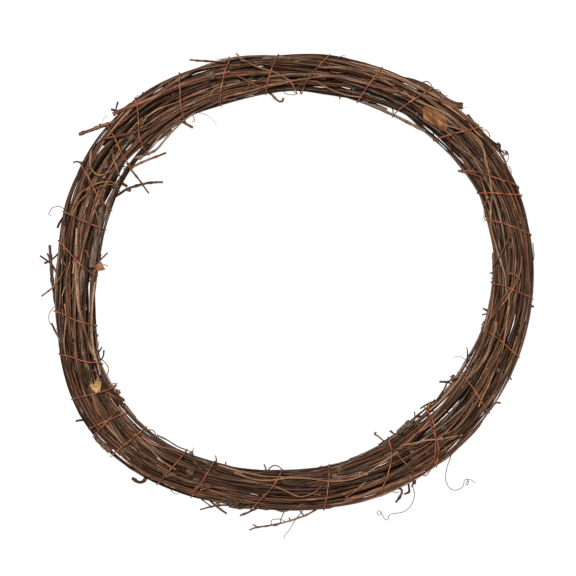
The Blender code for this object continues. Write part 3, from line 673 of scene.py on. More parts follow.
# shoots that lie where the picture shows them: its pixels, thickness in pixels, bark
laidShoots = (
    ((76, 228, 75.5, 250, 76.4, 272, 78.3, 303.8, 83.4, 326.7, 88.5, 342, 95, 360), 4.4, "tanVineBark"),
    ((40, 296.3, 51.5, 287.2, 59.1, 277, 63.6, 268, 64.9, 256.6, 63, 247.7, 63, 232, 65, 216), 1.7, "youngShootBark"),
    ((93.6, 282, 91.7, 297.4, 91, 311.4, 91, 329.3, 92.9, 348.4, 96, 361, 99.3, 375.2), 1.8, "youngShootBark"),
    ((89, 329, 87, 344.6, 91, 353.5, 94, 357.3), 1.4, "tanVineBark"),
    ((69.3, 262, 65.5, 282, 67.4, 300, 69.3, 329.3, 68.7, 351, 69.3, 367.6), 1.8, "tanVineBark"),
    ((63, 303.8, 64.2, 319, 63, 342, 66, 360), 1.6, "youngShootBark"),
    ((92.3, 394.3, 96, 405.8, 103.8, 421, 111.4, 431.3, 122, 444), 1.7, "tanVineBark"),
    ((72, 370, 80, 392, 92, 415, 106, 434), 2.6, "redVineBark"),
    ((82, 160, 75.7, 177.8, 69.3, 193, 65.5, 208.4, 64, 226), 2.4, "agedVineBark"),
    ((106.3, 124.2, 98.7, 134.4, 89.7, 148.4, 83.4, 161.2, 78, 176), 2.0, "agedVineBark"),
    ((90.5, 150, 89.7, 160, 90.5, 168, 95, 173.5, 99, 174.8, 106, 172.7, 112.7, 166.5, 118, 158, 124, 148),
     1.7, "youngShootBark"),
    ((70.6, 214, 77, 197, 84.6, 189, 96, 183, 109, 181.6, 117, 184), 1.9, "youngShootBark"),
    ((71.3, 216, 82, 197, 96, 188, 109, 184, 118, 186), 1.6, "youngShootBark"),
    ((101, 179, 109, 179.7, 116.5, 188, 119, 192), 1.6, "redVineBark"),
    ((88, 180, 91, 193, 94.8, 208.4, 97.4, 223.7, 97, 236), 1.6, "tanVineBark"),
    ((111.4, 148, 113, 158, 116, 166, 119, 176), 2.2, "agedVineBark"),
    ((100, 139, 116.5, 135.7, 133, 132, 155, 124, 180, 111.4, 200, 104), 2.8, "redVineBark"),
    ((134, 130, 140.8, 124.2, 148.4, 115.3, 161, 107.6, 177.8, 100, 189, 94.8, 204, 90), 2.0, "youngShootBark"),
    ((116, 112, 130, 103.8, 144.6, 96, 167.6, 79.5, 180.3, 74.4, 198.2, 68, 218.6, 64.2, 240, 64.4),
     3.0, "tanVineBark"),
    ((112, 113, 135.7, 103.8, 154.8, 96, 180.3, 84.6, 205.8, 77, 230, 72), 4.0, "redVineBark"),
    ((211, 95, 212.2, 89.7, 218.6, 86, 228.8, 83.4, 240, 80.8, 256, 80), 1.6, "youngShootBark"),
    ((186.7, 115.3, 199.4, 108.9, 218.6, 100, 240, 94.8, 258, 90), 2.5, "tanVineBark"),
    ((134, 157, 144.6, 153.5, 154.8, 148.4, 162.4, 139.5, 171.4, 129.3, 182.9, 119, 194, 112), 2.4, "tanVineBark"),
    ((138, 159, 147, 150, 154, 142, 159.9, 134.4, 169, 127, 180, 119), 2.2, "greyTwigBark"),
    ((119, 152, 128, 140, 139, 128, 152, 120), 1.8, "greyTwigBark"),
    ((235.7, 51.5, 243, 58.8, 256, 65.7, 273.6, 71.8, 285.8, 77.9, 291.9, 83.3, 297.3, 93.2), 1.8, "youngShootBark"),
    ((222, 97, 240, 91, 259, 88.5, 273, 84.6, 291, 80.8, 311.4, 77, 335.7, 77, 358.6, 82, 377.8, 87.2, 400, 92),
     2.6, "redVineBark"),
    ((226, 95.5, 244, 91.5, 264, 86, 284, 81), 2.4, "redVineBark"),
    ((262, 57.5, 278, 56.4, 297, 56.6, 316.5, 59, 335.7, 63, 354.8, 68.7, 377.8, 77, 393, 80), 2.2, "youngShootBark"),
    ((319, 66.8, 342, 67.4, 361, 69.3, 380, 74.4), 1.8, "tanVineBark"),
    ((300, 79, 316.5, 80.8, 329.3, 87.2, 345.9, 93.6, 362.4, 96.1), 2.0, "tanVineBark"),
    ((226, 72, 240, 77, 252.8, 83.4, 265.5, 87.8), 1.5, "youngShootBark"),
    ((240, 60, 262, 63, 286, 67, 310, 70, 330, 73), 1.6, "tanVineBark"),
    ((404, 90, 415.3, 99.5, 437, 109, 454.8, 120, 467.6, 130.2, 477.8, 137.8, 482.9, 146.7, 485.4, 160.8, 490, 172),
     2.2, "youngShootBark"),
    ((424, 92, 442, 102, 454.8, 111, 467.6, 121.2, 476.5, 131.4, 484, 138), 2.0, "youngShootBark"),
    ((438, 124, 447, 125.5, 458.6, 128.9, 471.4, 135.3, 479, 142.9, 484, 151.8, 485.4, 162, 488.6, 173),
     2.5, "youngShootBark"),
    ((448, 138, 452.2, 141.6, 462.4, 149.3, 477.8, 160.8, 486.7, 171, 493, 181.2, 502, 194), 1.8, "tanVineBark"),
    ((486, 160, 488, 171, 490.5, 182.4, 492.4, 194, 491.8, 206.7, 491.8, 223.3, 496.9, 245, 501.4, 262.4,
      505.5, 275.7, 506.5, 289, 509.1, 297.1, 508.6, 309.4, 505.5, 331.8, 503.5, 347.1, 500.4, 362.4), 1.9,
     "youngShootBark"),
    ((459, 170, 463.7, 171, 477.8, 174.8, 488, 182.4), 2.4, "redVineBark"),
    ((447, 134, 449.7, 140, 452, 149.3, 458.6, 160.8, 464, 170), 1.8, "redVineBark"),
    ((484, 206, 487, 201.5, 490.5, 196), 1.4, "tanVineBark"),
    ((500, 178, 509.6, 192.7, 518.6, 213, 526.2, 232, 529, 250), 1.9, "tanVineBark"),
    ((504, 170, 513, 190, 521, 212, 526, 240, 529, 270.6, 530, 285.9, 529, 303.3, 525.9, 321.6), 2.4, "redVineBark"),
    ((515, 228, 508.4, 241, 501.4, 254.3, 493.3, 268.6), 1.8, "tanVineBark"),
    ((522, 256, 520.8, 265.5, 518.8, 277.8, 511.6, 291, 503.5, 303.3, 495.3, 314.5, 488, 325), 1.6, "youngShootBark"),
    ((520, 272, 516.7, 279.8, 508.6, 291, 500.4, 303.3, 493.3, 314.5, 488.2, 326.7, 484, 340), 2.5, "tanVineBark"),
    ((509.6, 273, 516.7, 275.7, 519, 280), 2.0, "redVineBark"),
    ((492.2, 277.8, 498, 281, 503.5, 285.9), 1.2, "tanVineBark"),
    ((496, 322, 495.3, 329.8, 491.2, 342, 487.1, 354.3, 479, 366.5, 470, 378), 3.8, "tanVineBark"),
    ((440, 404, 450.4, 391, 460.6, 379.8, 470.8, 367.6, 478, 356), 2.0, "youngShootBark"),
    ((470, 412, 478, 400, 487.1, 382.9, 495.3, 369.6, 503, 352), 2.0, "redVineBark"),
    ((484, 410, 491.2, 400, 499.4, 382.9, 505.5, 366.5, 511.6, 355.3, 518, 336), 2.8, "tanVineBark"),
    ((428, 414, 435.5, 407.6, 444.7, 399.4, 453.9, 389.2, 462, 378), 2.1, "youngShootBark"),
    ((479.4, 407, 483.5, 395.3, 488.6, 385.1, 494, 372), 1.9, "youngShootBark"),
    ((402, 446, 417.1, 443.3, 425.3, 440.7, 437.6, 439.2, 451.8, 437.1, 463.1, 435.6), 2.1, "youngShootBark"),
    ((389.6, 450.4, 398.8, 450.4, 408, 449.4, 415.1, 447.3), 1.7, "tanVineBark"),
    ((400, 447, 408, 441.2, 417.1, 434.1, 425.3, 429, 435.5, 420.8, 446, 410), 2.1, "redVineBark"),
    ((375.7, 435.2, 382.9, 440.8, 393.7, 450.4, 403.9, 461.6, 412, 468.8, 417.1, 468.8), 1.7, "youngShootBark"),
    ((414.1, 419.8, 421.2, 428), 1.5, "tanVineBark"),
    ((403.9, 475.9, 417.1, 468.8, 425.3, 462.7, 431.4, 458.6, 440, 450), 1.6, "tanVineBark"),
    ((480, 419, 471.2, 430, 466.1, 437.1, 455.9, 449.4, 445.7, 457.6, 437.6, 463.7, 420, 475), 3.2, "redVineBark"),
    ((484, 422, 475, 434, 462, 447, 448, 460, 432, 470), 2.4, "redVineBark"),
    ((345, 501, 360, 497.3, 378.4, 490.2, 400.8, 483.1, 413, 478, 426, 472), 2.8, "redVineBark"),
    ((495.7, 403, 491.6, 410.6, 485.5, 415.7, 478, 422), 2.2, "tanVineBark"),
    ((329.8, 506.1, 342, 504.6, 357.3, 500, 372.7, 493.9, 392, 487), 2.0, "tanVineBark"),
    ((234, 473, 254.3, 479.6, 270.6, 480.6, 291, 478, 311.4, 479, 326.7, 481.1, 342, 481.1, 357.3, 477.6,
      372.7, 469.4, 386.9, 460.2, 398, 452), 2.1, "youngShootBark"),
    ((268.6, 484.7, 282.9, 489.8, 297.1, 496.4, 305.3, 496.4, 315.5, 491.8, 321.6, 485.7), 2.0, "youngShootBark"),
    ((236, 500, 265.5, 501, 291, 503, 316.5, 505, 334, 503), 1.8, "tanVineBark"),
    ((217.6, 466.7, 232.9, 471, 250, 474.5, 266, 477, 284, 477.6), 1.6, "youngShootBark"),
    ((346, 498, 350.2, 494.9, 358, 489, 366, 482.5), 1.5, "youngShootBark"),
    ((141, 437.1, 153.3, 445.3, 163.5, 448.4, 174.7, 451.4, 184, 455), 2.5, "redVineBark"),
    ((134, 434, 147.1, 446.3, 156.3, 455.5, 167.6, 464.7, 176, 470), 1.7, "youngShootBark"),
    ((133.9, 439.2, 141, 452.4, 147.1, 457.6, 156, 464), 1.3, "youngShootBark"),
    ((112.4, 454.5, 122.7, 464.7, 130.8, 470.8, 143, 475.5, 156, 480), 1.7, "agedVineBark"),
    ((155.3, 436.6, 166.5, 442.2, 176.7, 448.4, 188, 452.8), 1.6, "agedVineBark"),
    ((150, 478, 171.6, 486, 192, 495.3, 212.4, 497.3, 232.9, 501.4, 250, 504), 2.5, "redVineBark"),
    ((229, 506.5, 240, 508, 256, 507.5), 5.5, "agedVineBark"),
    ((200.2, 490.2, 212.4, 487.1, 225.7, 488.2), 1.8, "redVineBark"),
    ((193, 492, 198.2, 485.1, 206.3, 480), 1.6, "redVineBark"),
    ((165.5, 477, 177.8, 473.9, 186.9, 478), 1.1, "youngShootBark"),
    ((63, 362, 70, 386, 78, 404, 88, 421, 100, 437, 114, 451), 3.6, "agedVineBark"),
    ((68, 372, 76, 394, 86, 412, 98, 429, 114, 445, 130, 460), 3.2, "redVineBark"),
    ((82, 412, 92, 429, 105, 443, 120, 456), 2.6, "agedVineBark"),
    ((470, 112, 480, 125, 490, 136.5, 500, 147, 507, 158, 512, 172, 518, 186, 522, 202), 2.4, "agedVineBark"),
    ((484, 132, 494, 144, 503, 153, 509.6, 166, 516, 182, 521, 196), 1.8, "redVineBark"),
    ((474, 124, 486, 138, 495, 151, 503, 166, 510, 184), 2.6, "tanVineBark"),
    ((440, 99, 455, 107.5, 468, 117, 480.5, 125), 4.0, "redVineBark"),
    ((466, 119, 480, 129, 490, 137, 500, 143.6), 3.2, "tanVineBark"),
    ((482, 134, 495, 143, 506.6, 151.4), 2.6, "agedVineBark"),
    ((411, 459, 425.5, 451.6, 434.7, 445.5, 446, 437), 1.8, "tanVineBark"),
    ((442, 435, 448, 433, 455, 429, 463, 421, 468.4, 412.9, 473.5, 402.7), 2.0, "youngShootBark"),
    ((437.8, 450.6, 447, 441.4, 457, 437.3, 466, 430), 1.8, "tanVineBark"),
    ((415.3, 468, 427.6, 461.8, 439.8, 454.7, 452, 446), 1.8, "youngShootBark"),
    ((350, 460.5, 362, 456, 376, 449, 388, 442.5, 399, 434, 411, 424), 2.6, "agedVineBark"),
    ((379, 446, 389, 439.6, 398, 433.4, 407, 425.6, 417, 416.6, 427, 408.6, 436, 400), 1.8, "agedVineBark"),
    ((386, 444, 396, 436.5, 405, 429.5, 415, 420.4, 424, 412.2, 438, 401.5), 1.5, "greyTwigBark"),
    ((390, 441, 397, 434, 404, 425.5, 412, 420.6, 422, 413.6), 1.3, "agedVineBark"),
    ((362, 460, 376, 453.5, 390, 446.5, 406, 436, 422, 422.5), 2.0, "redVineBark"),
)


def solidOf(strands):
    corners, faces, base = [], [], 0
    for strand in strands:
        corners.append(strand[0])
        faces += [[base + i for i in face] for face in strand[1] if len(face) == 4]
        base += len(strand[0])
    return BVHTree.FromPolygons(np.concatenate(corners).tolist(), faces)


pile = [solidOf([stem[2] for stem in stems] + [strand for strands in shootStrands.values() for strand in strands])]


def topAt(x, y):
    hits = [solid.ray_cast(Vector((x, y, 0.2)), Vector((0, 0, -1)))[0] for solid in pile]
    heights = [hit.z for hit in hits if hit is not None]
    return max(heights) if heights else None


def pairs(values):
    return list(zip(values[::2], values[1::2]))


def laidOn(pixels, radius, step=2.5 * mm, passes=14):
    # a course over what lies below it: stiff, so that it bridges the hollows
    flat = curveThrough([tuple(inPicture(px, py, 0.032)) for px, py in pairs(pixels)], step)
    tops = [topAt(x, y) for x, y, _ in flat]
    known = [i for i, z in enumerate(tops) if z is not None and z > 0.012]
    if not known:
        return np.column_stack([flat[:, :2], np.full(len(flat), ring["middle"])])
    floor = np.interp(np.arange(len(flat)), known, [tops[i] for i in known])
    height = np.array([floor[max(0, i - 1) : i + 2].max() for i in range(len(floor))])
    for _ in range(passes):
        padded = np.concatenate([height[:1], height, height[-1:]])
        eased = 0.5 * padded[1:-1] + 0.25 * (padded[:-2] + padded[2:])
        height = np.maximum(eased, floor - 0.3 * radius)
    return np.column_stack([flat[:, :2], height + 0.8 * radius])


for number, (pixels, wide, kind) in enumerate(laidShoots):
    radius = 0.5 * wide * view["pixel"]
    points = laidOn(pixels, radius)
    radii = np.linspace(radius, 0.75 * radius, len(points))
    strand = strandOf(points, radii, 1200 + number, random.Random(number).uniform(-0.1, 0.16), 8, 0.15 * mm)
    shootStrands[kind].append(strand)
    shootCourses.append((points, radii))
    pile.append(solidOf([strand]))
for kind, strands in shootStrands.items():
    if strands:
        pieceOf("shoots_" + kind, strands, [barkOf[kind], cutWood])
print("shoots laid:", len(shootCourses))


wire = {
    "radius": 0.52 * mm,
    "clear": 0.05 * mm,
    "points": 40,  # in each turn
    "sides": 8,
    "waver": 0.25 * mm,
    "directions": 72,  # in which each plane of the bundle is measured
    "beside": 30 * mm,  # how far from the bundle's middle a shoot still lies under the wire
    "overFirst": 1.1 * mm,  # how much further out the last turn lies
    "twistPitch": 5 * mm,
    "twistLift": 0.4 * mm,
    # where each turn crosses the front: its angle at the outer side and at the inner side
    "turns": (
        (216.2, 218.6), (224.3, 225.3), (236.7, 238.4), (245.4, 247.1), (260.1, 267.6), (278.5, 281.9),
        (293.0, 302.2), (308.3, 316.9), (326.5, 331.4), (341.7, 346.1), (355.8, 359.5), (370.8, 377.4),
        (380.1, 385.3), (381.9, 392.9), (398.5, 404.4), (413.5, 418.1), (426.6, 429.3), (440.1, 446.8),
        (453.1, 457.4), (465.2, 471.5), (478.0, 483.3), (490.0, 498.2), (499.4, 504.3), (510.7, 518.4),
        (522.9, 524.4), (530.0, 538.3), (547.1, 552.8), (557.3, 563.7), (568.4, 571.1),
        (578.4, 576.4),
    ),
    # slack loops and ends that stand off: pixels, heights of their two ends in mm
    "loops": (
        ((99, 358, 103.8, 361.2, 107.4, 365.6, 108.4, 370, 106.8, 375.4, 104, 379), 18, 18),
        ((104, 385, 110, 385.4, 112.4, 385.2, 115.4, 386.6, 115.2, 383.6, 112.6, 383.4, 112.4, 386, 116, 389,
          118.6, 392, 117, 395, 114.4, 393), 21, 20),
        ((429, 96, 433.7, 90.4, 437, 89.4, 440.4, 91.4, 440.8, 94.4), 22, 18),
        ((481, 130.6, 485.4, 130, 488.4, 132.6, 489.8, 136.8, 487, 139), 19, 16),
        ((136, 437, 141, 431.6, 146, 429.6), 18, 18),
    ),
    "twisted": (430.6, 404, 428.4, 408.6, 431.4, 423.9, 435.5, 437.1, 438.6, 449.4, 437.6, 464.7, 433.6, 469),
}


def allDiscs():
    rows = [[] for _ in range(fine)]
    for number in range(len(stems)):
        for plane in np.flatnonzero(there[number]):
            rows[plane].append(discs[number, plane])
    for points, radii in shootCourses:
        planes, values = sectionsOf(points, radii)
        for plane, value in zip(planes, values):
            if abs(value[0] - middleOut[plane]) < wire["beside"]:
                rows[plane].append(value)
    return [np.array(row) for row in rows]


def wireCourse():
    rows = allDiscs()
    tried = 2 * math.pi * np.arange(wire["directions"]) / wire["directions"]
    directions = np.stack([np.cos(tried), np.sin(tried)])
    supports = np.zeros((fine, wire["directions"]))
    for plane, row in enumerate(rows):
        flat = np.column_stack([row[:, 0] - middleOut[plane], row[:, 1] - ring["middle"]])
        supports[plane] = (flat @ directions + row[:, 2:]).max(0)
    knots = []
    for number, (outer, inner) in enumerate(wire["turns"]):
        knots += [(2 * math.pi * number, math.radians(outer)), (2 * math.pi * number + math.pi, math.radians(inner))]
    out = []
    for number, ((turnA, angleA), (turnB, angleB)) in enumerate(zip(knots, knots[1:])):
        for share in np.arange(wire["points"] // 2) / (wire["points"] // 2):
            turn = turnA + share * math.pi
            angle = angleA + (angleB - angleA) * 0.5 * (1 - math.cos(share * math.pi))
            at = angle / fineStep
            low, part = int(at) % fine, at - int(at)
            both = np.maximum(supports[low], supports[(low + 1) % fine])
            facing = np.cos(tried - turn)
            reach = (both[facing > 0.1] / facing[facing > 0.1]).min() + wire["radius"] + wire["clear"]
            mid = (1 - part) * middleOut[low] + part * middleOut[(low + 1) % fine]
            reach += wire["waver"] * (0.5 + noise.noise(Vector((turn * 0.8, 3.0, 1.0))))
            if number >= len(knots) - 3:
                reach += wire["overFirst"]
            height = max(ring["middle"] + reach * math.sin(turn), wire["radius"] + 0.1 * mm)
            out.append(pointAt(np.array(angle), mid + reach * math.cos(turn), height))
    return np.array(out)


wirePoints = wireCourse()
wireStrands = [tube(wirePoints, np.full(len(wirePoints), wire["radius"]), wire["sides"], 0.3, 0.0)]
for pixels, low, high in wire["loops"]:
    spots = pairs(pixels)
    heights = np.linspace(low, high, len(spots)) * mm
    course = curveThrough([tuple(inPicture(px, py, z)) for (px, py), z in zip(spots, heights)], 0.8 * mm)
    wireStrands.append(tube(course, np.full(len(course), 0.85 * wire["radius"]), wire["sides"], 0.5, 0.0))
twistMiddle = laidOn(wire["twisted"], wire["radius"], 0.8 * mm, 30)
across, up = framesAlong(twistMiddle)
spin = lengthsAlong(twistMiddle) / wire["twistPitch"] * 2 * math.pi
for start in (0, math.pi):
    away = np.cos(spin + start)[:, None] * across + np.sin(spin + start)[:, None] * up
    course = twistMiddle + wire["radius"] * away
    course[:, 2] += wire["twistLift"]
    wireStrands.append(tube(course, np.full(len(course), 0.9 * wire["radius"]), wire["sides"], 0.5, 0.0))
pieceOf("binding_wire_rusted", wireStrands, [rustWire], ["binding_wire"])
print("wire wound")


# pixels of the picture, thickness in pixels, height at the root and at the tip in mm, bark
twigs = (
    ((119, 120, 107.4, 124.4, 99.8, 126.7, 90, 130.5, 78.7, 134.4), 3.6, 19, 23, "redVineBark"),
    ((101, 127, 99.5, 123.8), 2.4, 21, 22, "greyTwigBark"),
    ((124, 170, 132.7, 166.5, 150, 159, 166, 152.7), 2.3, 18, 22, "redVineBark"),
    ((127, 163, 130.4, 168.8, 140, 181, 148.8, 193.3), 1.9, 22, 24, "tanVineBark"),
    ((112, 198, 120.4, 193.3, 128.1, 188.7, 143.4, 184, 152, 182.4, 162.9, 182.2), 2.6, 16, 22, "greyTwigBark"),
    ((127, 189.5, 130.8, 190.6), 3.4, 18, 18, "greyTwigBark"),
    ((117, 182, 121.2, 183, 127.3, 186.4), 3.2, 18, 19, "greyTwigBark"),
    ((126, 113, 116.6, 110.7, 110.9, 109.3), 2.6, 20, 21, "agedVineBark"),
    ((114, 116, 115.9, 109.1, 118.1, 101.5), 1.6, 20, 22, "agedVineBark"),
    ((57, 306, 55.3, 301, 54, 290, 52, 277, 50.8, 262, 49.6, 245), 3.3, 15, 20, "greyTwigBark"),
    ((57, 273, 50.8, 263.5, 48, 261.5, 40, 255.7), 2.0, 15, 19, "redVineBark"),
    ((50.5, 260, 47, 253.2), 1.8, 18, 20, "agedVineBark"),
    ((44.5, 263.3, 49.6, 261, 56.6, 255.3, 61, 249.6, 62, 245), 1.8, 18, 22, "redVineBark"),
    ((96.4, 266, 99.6, 260, 101, 253.6), 1.4, 20, 21, "greyTwigBark"),
    ((96, 264, 101.6, 258.8, 107.6, 252.8), 1.6, 20, 22, "greyTwigBark"),
    ((103, 264, 108, 266), 0.8, 20, 20, "greyTwigBark"),
    ((96, 421, 83, 420, 75.7, 421.2), 2.2, 18, 17, "agedVineBark"),
    ((105, 420.5, 95, 421.5, 86, 420), 3.6, 23, 20, "redVineBark"),
    ((152, 476.5, 147.1, 476.5, 143, 481.5, 138, 482, 131.8, 478), 3.2, 16, 15, "redVineBark"),
    ((220, 499, 210.4, 499.4, 215.5, 505.5, 226.7, 513.7), 2.2, 14, 10, "redVineBark"),
    ((234, 505.5, 222, 505.2, 212.4, 506.5, 200.2, 509.6), 1.9, 13, 9, "greyTwigBark"),
    ((199.4, 495.5, 203.2, 500.4, 211.4, 506.9), 1.2, 15, 10.8, "agedVineBark"),
    ((262, 506, 250, 511.6, 240, 515.7), 2.0, 12, 9, "agedVineBark"),
    ((322, 505, 313.5, 511.2, 303.3, 516.3, 291, 520.4, 275.7, 524.5, 256.3, 527.6, 249.2, 530.1), 1.8, 14, 6,
     "redVineBark"),
    ((258, 527.4, 252.8, 524.5), 1.6, 7, 8, "agedVineBark"),
    ((290, 520.6, 289, 517.6), 1.4, 9, 10, "agedVineBark"),
    ((304, 516, 300, 511), 1.4, 11, 12, "agedVineBark"),
    ((404, 482, 398.8, 487.1, 401.8, 490.2, 400.8, 495.3, 395.7, 502.4), 2.5, 14, 10, "agedVineBark"),
    ((407, 480, 408.6, 485, 409, 488.2, 409, 492.2, 403.9, 494.3), 2.1, 14, 12, "redVineBark"),
    ((417, 475, 415.1, 479, 414.6, 484), 3.0, 15, 13, "agedVineBark"),
    ((414, 480, 412, 487.1), 1.9, 14, 12, "agedVineBark"),
    ((490, 409, 495.7, 403, 500.8, 403), 2.3, 17, 19, "tanVineBark"),
    ((443, 399, 431.4, 402.4, 425.3, 405.5, 420.2, 408.6), 2.0, 16, 18, "greyTwigBark"),
    ((432, 408, 436.5, 400.4, 444.7, 388.2, 448, 381.8, 458, 378), 1.7, 18, 18, "agedVineBark"),
    ((450, 382, 439.4, 381.8), 2.4, 18, 20, "greyTwigBark"),
    ((430, 416.5, 421, 416.3, 415.2, 417.2, 414.7, 411.5), 1.5, 18, 21, "redVineBark"),
    ((404, 434, 396.1, 434.7, 392, 438.8, 389, 443), 2.1, 20, 18, "agedVineBark"),
    ((390, 430.6, 396.1, 434.7, 402, 429.6), 1.8, 20, 21, "agedVineBark"),
    ((404, 428, 410, 424, 415, 420), 3.2, 17, 18, "agedVineBark"),
    ((376, 435.4, 374.6, 434, 375, 432.6, 376.8, 432.4), 1.3, 22, 22, "redVineBark"),
    ((491, 313, 488.2, 311.4, 483.1, 308.4), 2.0, 17, 19, "agedVineBark"),
    ((490, 318, 487.1, 314, 482, 315), 1.5, 17, 18, "agedVineBark"),
    ((497, 272, 490, 273.3), 1.8, 17, 17, "agedVineBark"),
    ((527, 303, 530, 305.3, 534, 306.8), 2.5, 17, 17, "agedVineBark"),
    ((505, 371, 508.6, 375.7, 511.6, 379.8), 1.5, 16, 15, "agedVineBark"),
    ((468, 372, 466.2, 364.5, 467.8, 353.3, 466.7, 347.1), 1.1, 18, 20, "greyTwigBark"),
    ((467, 356, 473, 352), 1.1, 19, 17, "greyTwigBark"),
    ((180, 119, 186, 123.8, 193, 127.4), 3.0, 17, 18, "tanVineBark"),
    ((268, 92, 272, 94.5, 275, 98, 279, 101.5, 282.6, 101, 283.5, 97.8), 2.2, 19, 20, "redVineBark"),
    ((346, 92, 341, 94.5, 339.5, 99), 1.6, 18, 19, "agedVineBark"),
    ((226, 62, 210, 61.5, 189.4, 59.7), 2.0, 21, 24, "agedVineBark"),
    ((72, 212, 66, 215, 60, 222, 57.4, 228), 2.6, 17, 16, "agedVineBark"),
    ((75, 259, 79, 255, 84.5, 250.6, 86.6, 252.4, 88.6, 257.4), 1.9, 29, 31, "redVineBark"),
    ((82, 163, 76, 161.5, 73, 163), 1.6, 18, 18, "agedVineBark"),
    ((141, 100, 142, 95.5, 143, 92), 1.6, 21, 23, "agedVineBark"),
    ((96, 355, 99.6, 350.6, 102, 347), 1.6, 18, 21, "agedVineBark"),
    ((97, 363, 102, 358.4, 103.6, 355, 103.8, 350), 1.5, 18, 20, "agedVineBark"),
    ((498, 150, 500, 146, 497.4, 142.8), 2.6, 18, 21, "greyTwigBark"),
    ((501, 157, 505, 154, 506.5, 150.8), 1.8, 18, 20, "greyTwigBark"),
    ((533, 243, 534, 257.3, 532, 263.5), 0.9, 17, 17, "agedVineBark"),
)


def raised(pixels, low, high, step):
    # a course whose height goes evenly from the root's to the tip's
    spots = pairs(pixels)
    heights = np.linspace(low, high, len(spots)) * mm
    return curveThrough([tuple(inPicture(px, py, z)) for (px, py), z in zip(spots, heights)], step)


twigStrands = {kind: [] for kind in kindSlots}
for number, (pixels, wide, low, high, kind) in enumerate(twigs):
    points = raised(pixels, low, high, 1.5 * mm)
    radius = 0.5 * wide * view["pixel"]
    radii = np.linspace(1.06 * radius, 0.9 * radius, len(points))
    if len(points) > 5:
        radii[:3] *= (1.35, 1.2, 1.08)
    twigStrands[kind].append(strandOf(
        points, radii, 1500 + number, random.Random(number).uniform(-0.08, 0.08), 9, 0.2 * mm, 0.14, 0.2,
        (7 * mm, 14 * mm), 0.35,
    ))
for kind, strands in twigStrands.items():
    if strands:
        pieceOf("twigs_" + kind, strands, [barkOf[kind], cutWood])

restingSpur = {"height": 7 * mm, "radii": (1.45 * mm, 1.7 * mm), "rings": 6, "sides": 10}
spurStrands = []
for name in (node for nodes in caneNodes.values() for node in nodes):
    corners = np.array([v.co for v in frame["nodes"][name].data.vertices])
    low = corners[corners[:, 2] < 1e-5]
    if len(low):
        foot = np.append(np.unique(low.round(6), axis=0).mean(0)[:2], 0.0)
        course = np.linspace(foot, foot + np.array((0, 0, restingSpur["height"])), restingSpur["rings"])
        radii = np.linspace(*restingSpur["radii"], restingSpur["rings"])
        spurStrands.append(tube(course, radii, restingSpur["sides"], 5.0, 0.0, 0.12, 0.0))
pieceOf("resting_spurs", spurStrands, [barkOf["agedVineBark"], cutWood])
print("twigs and spurs made")


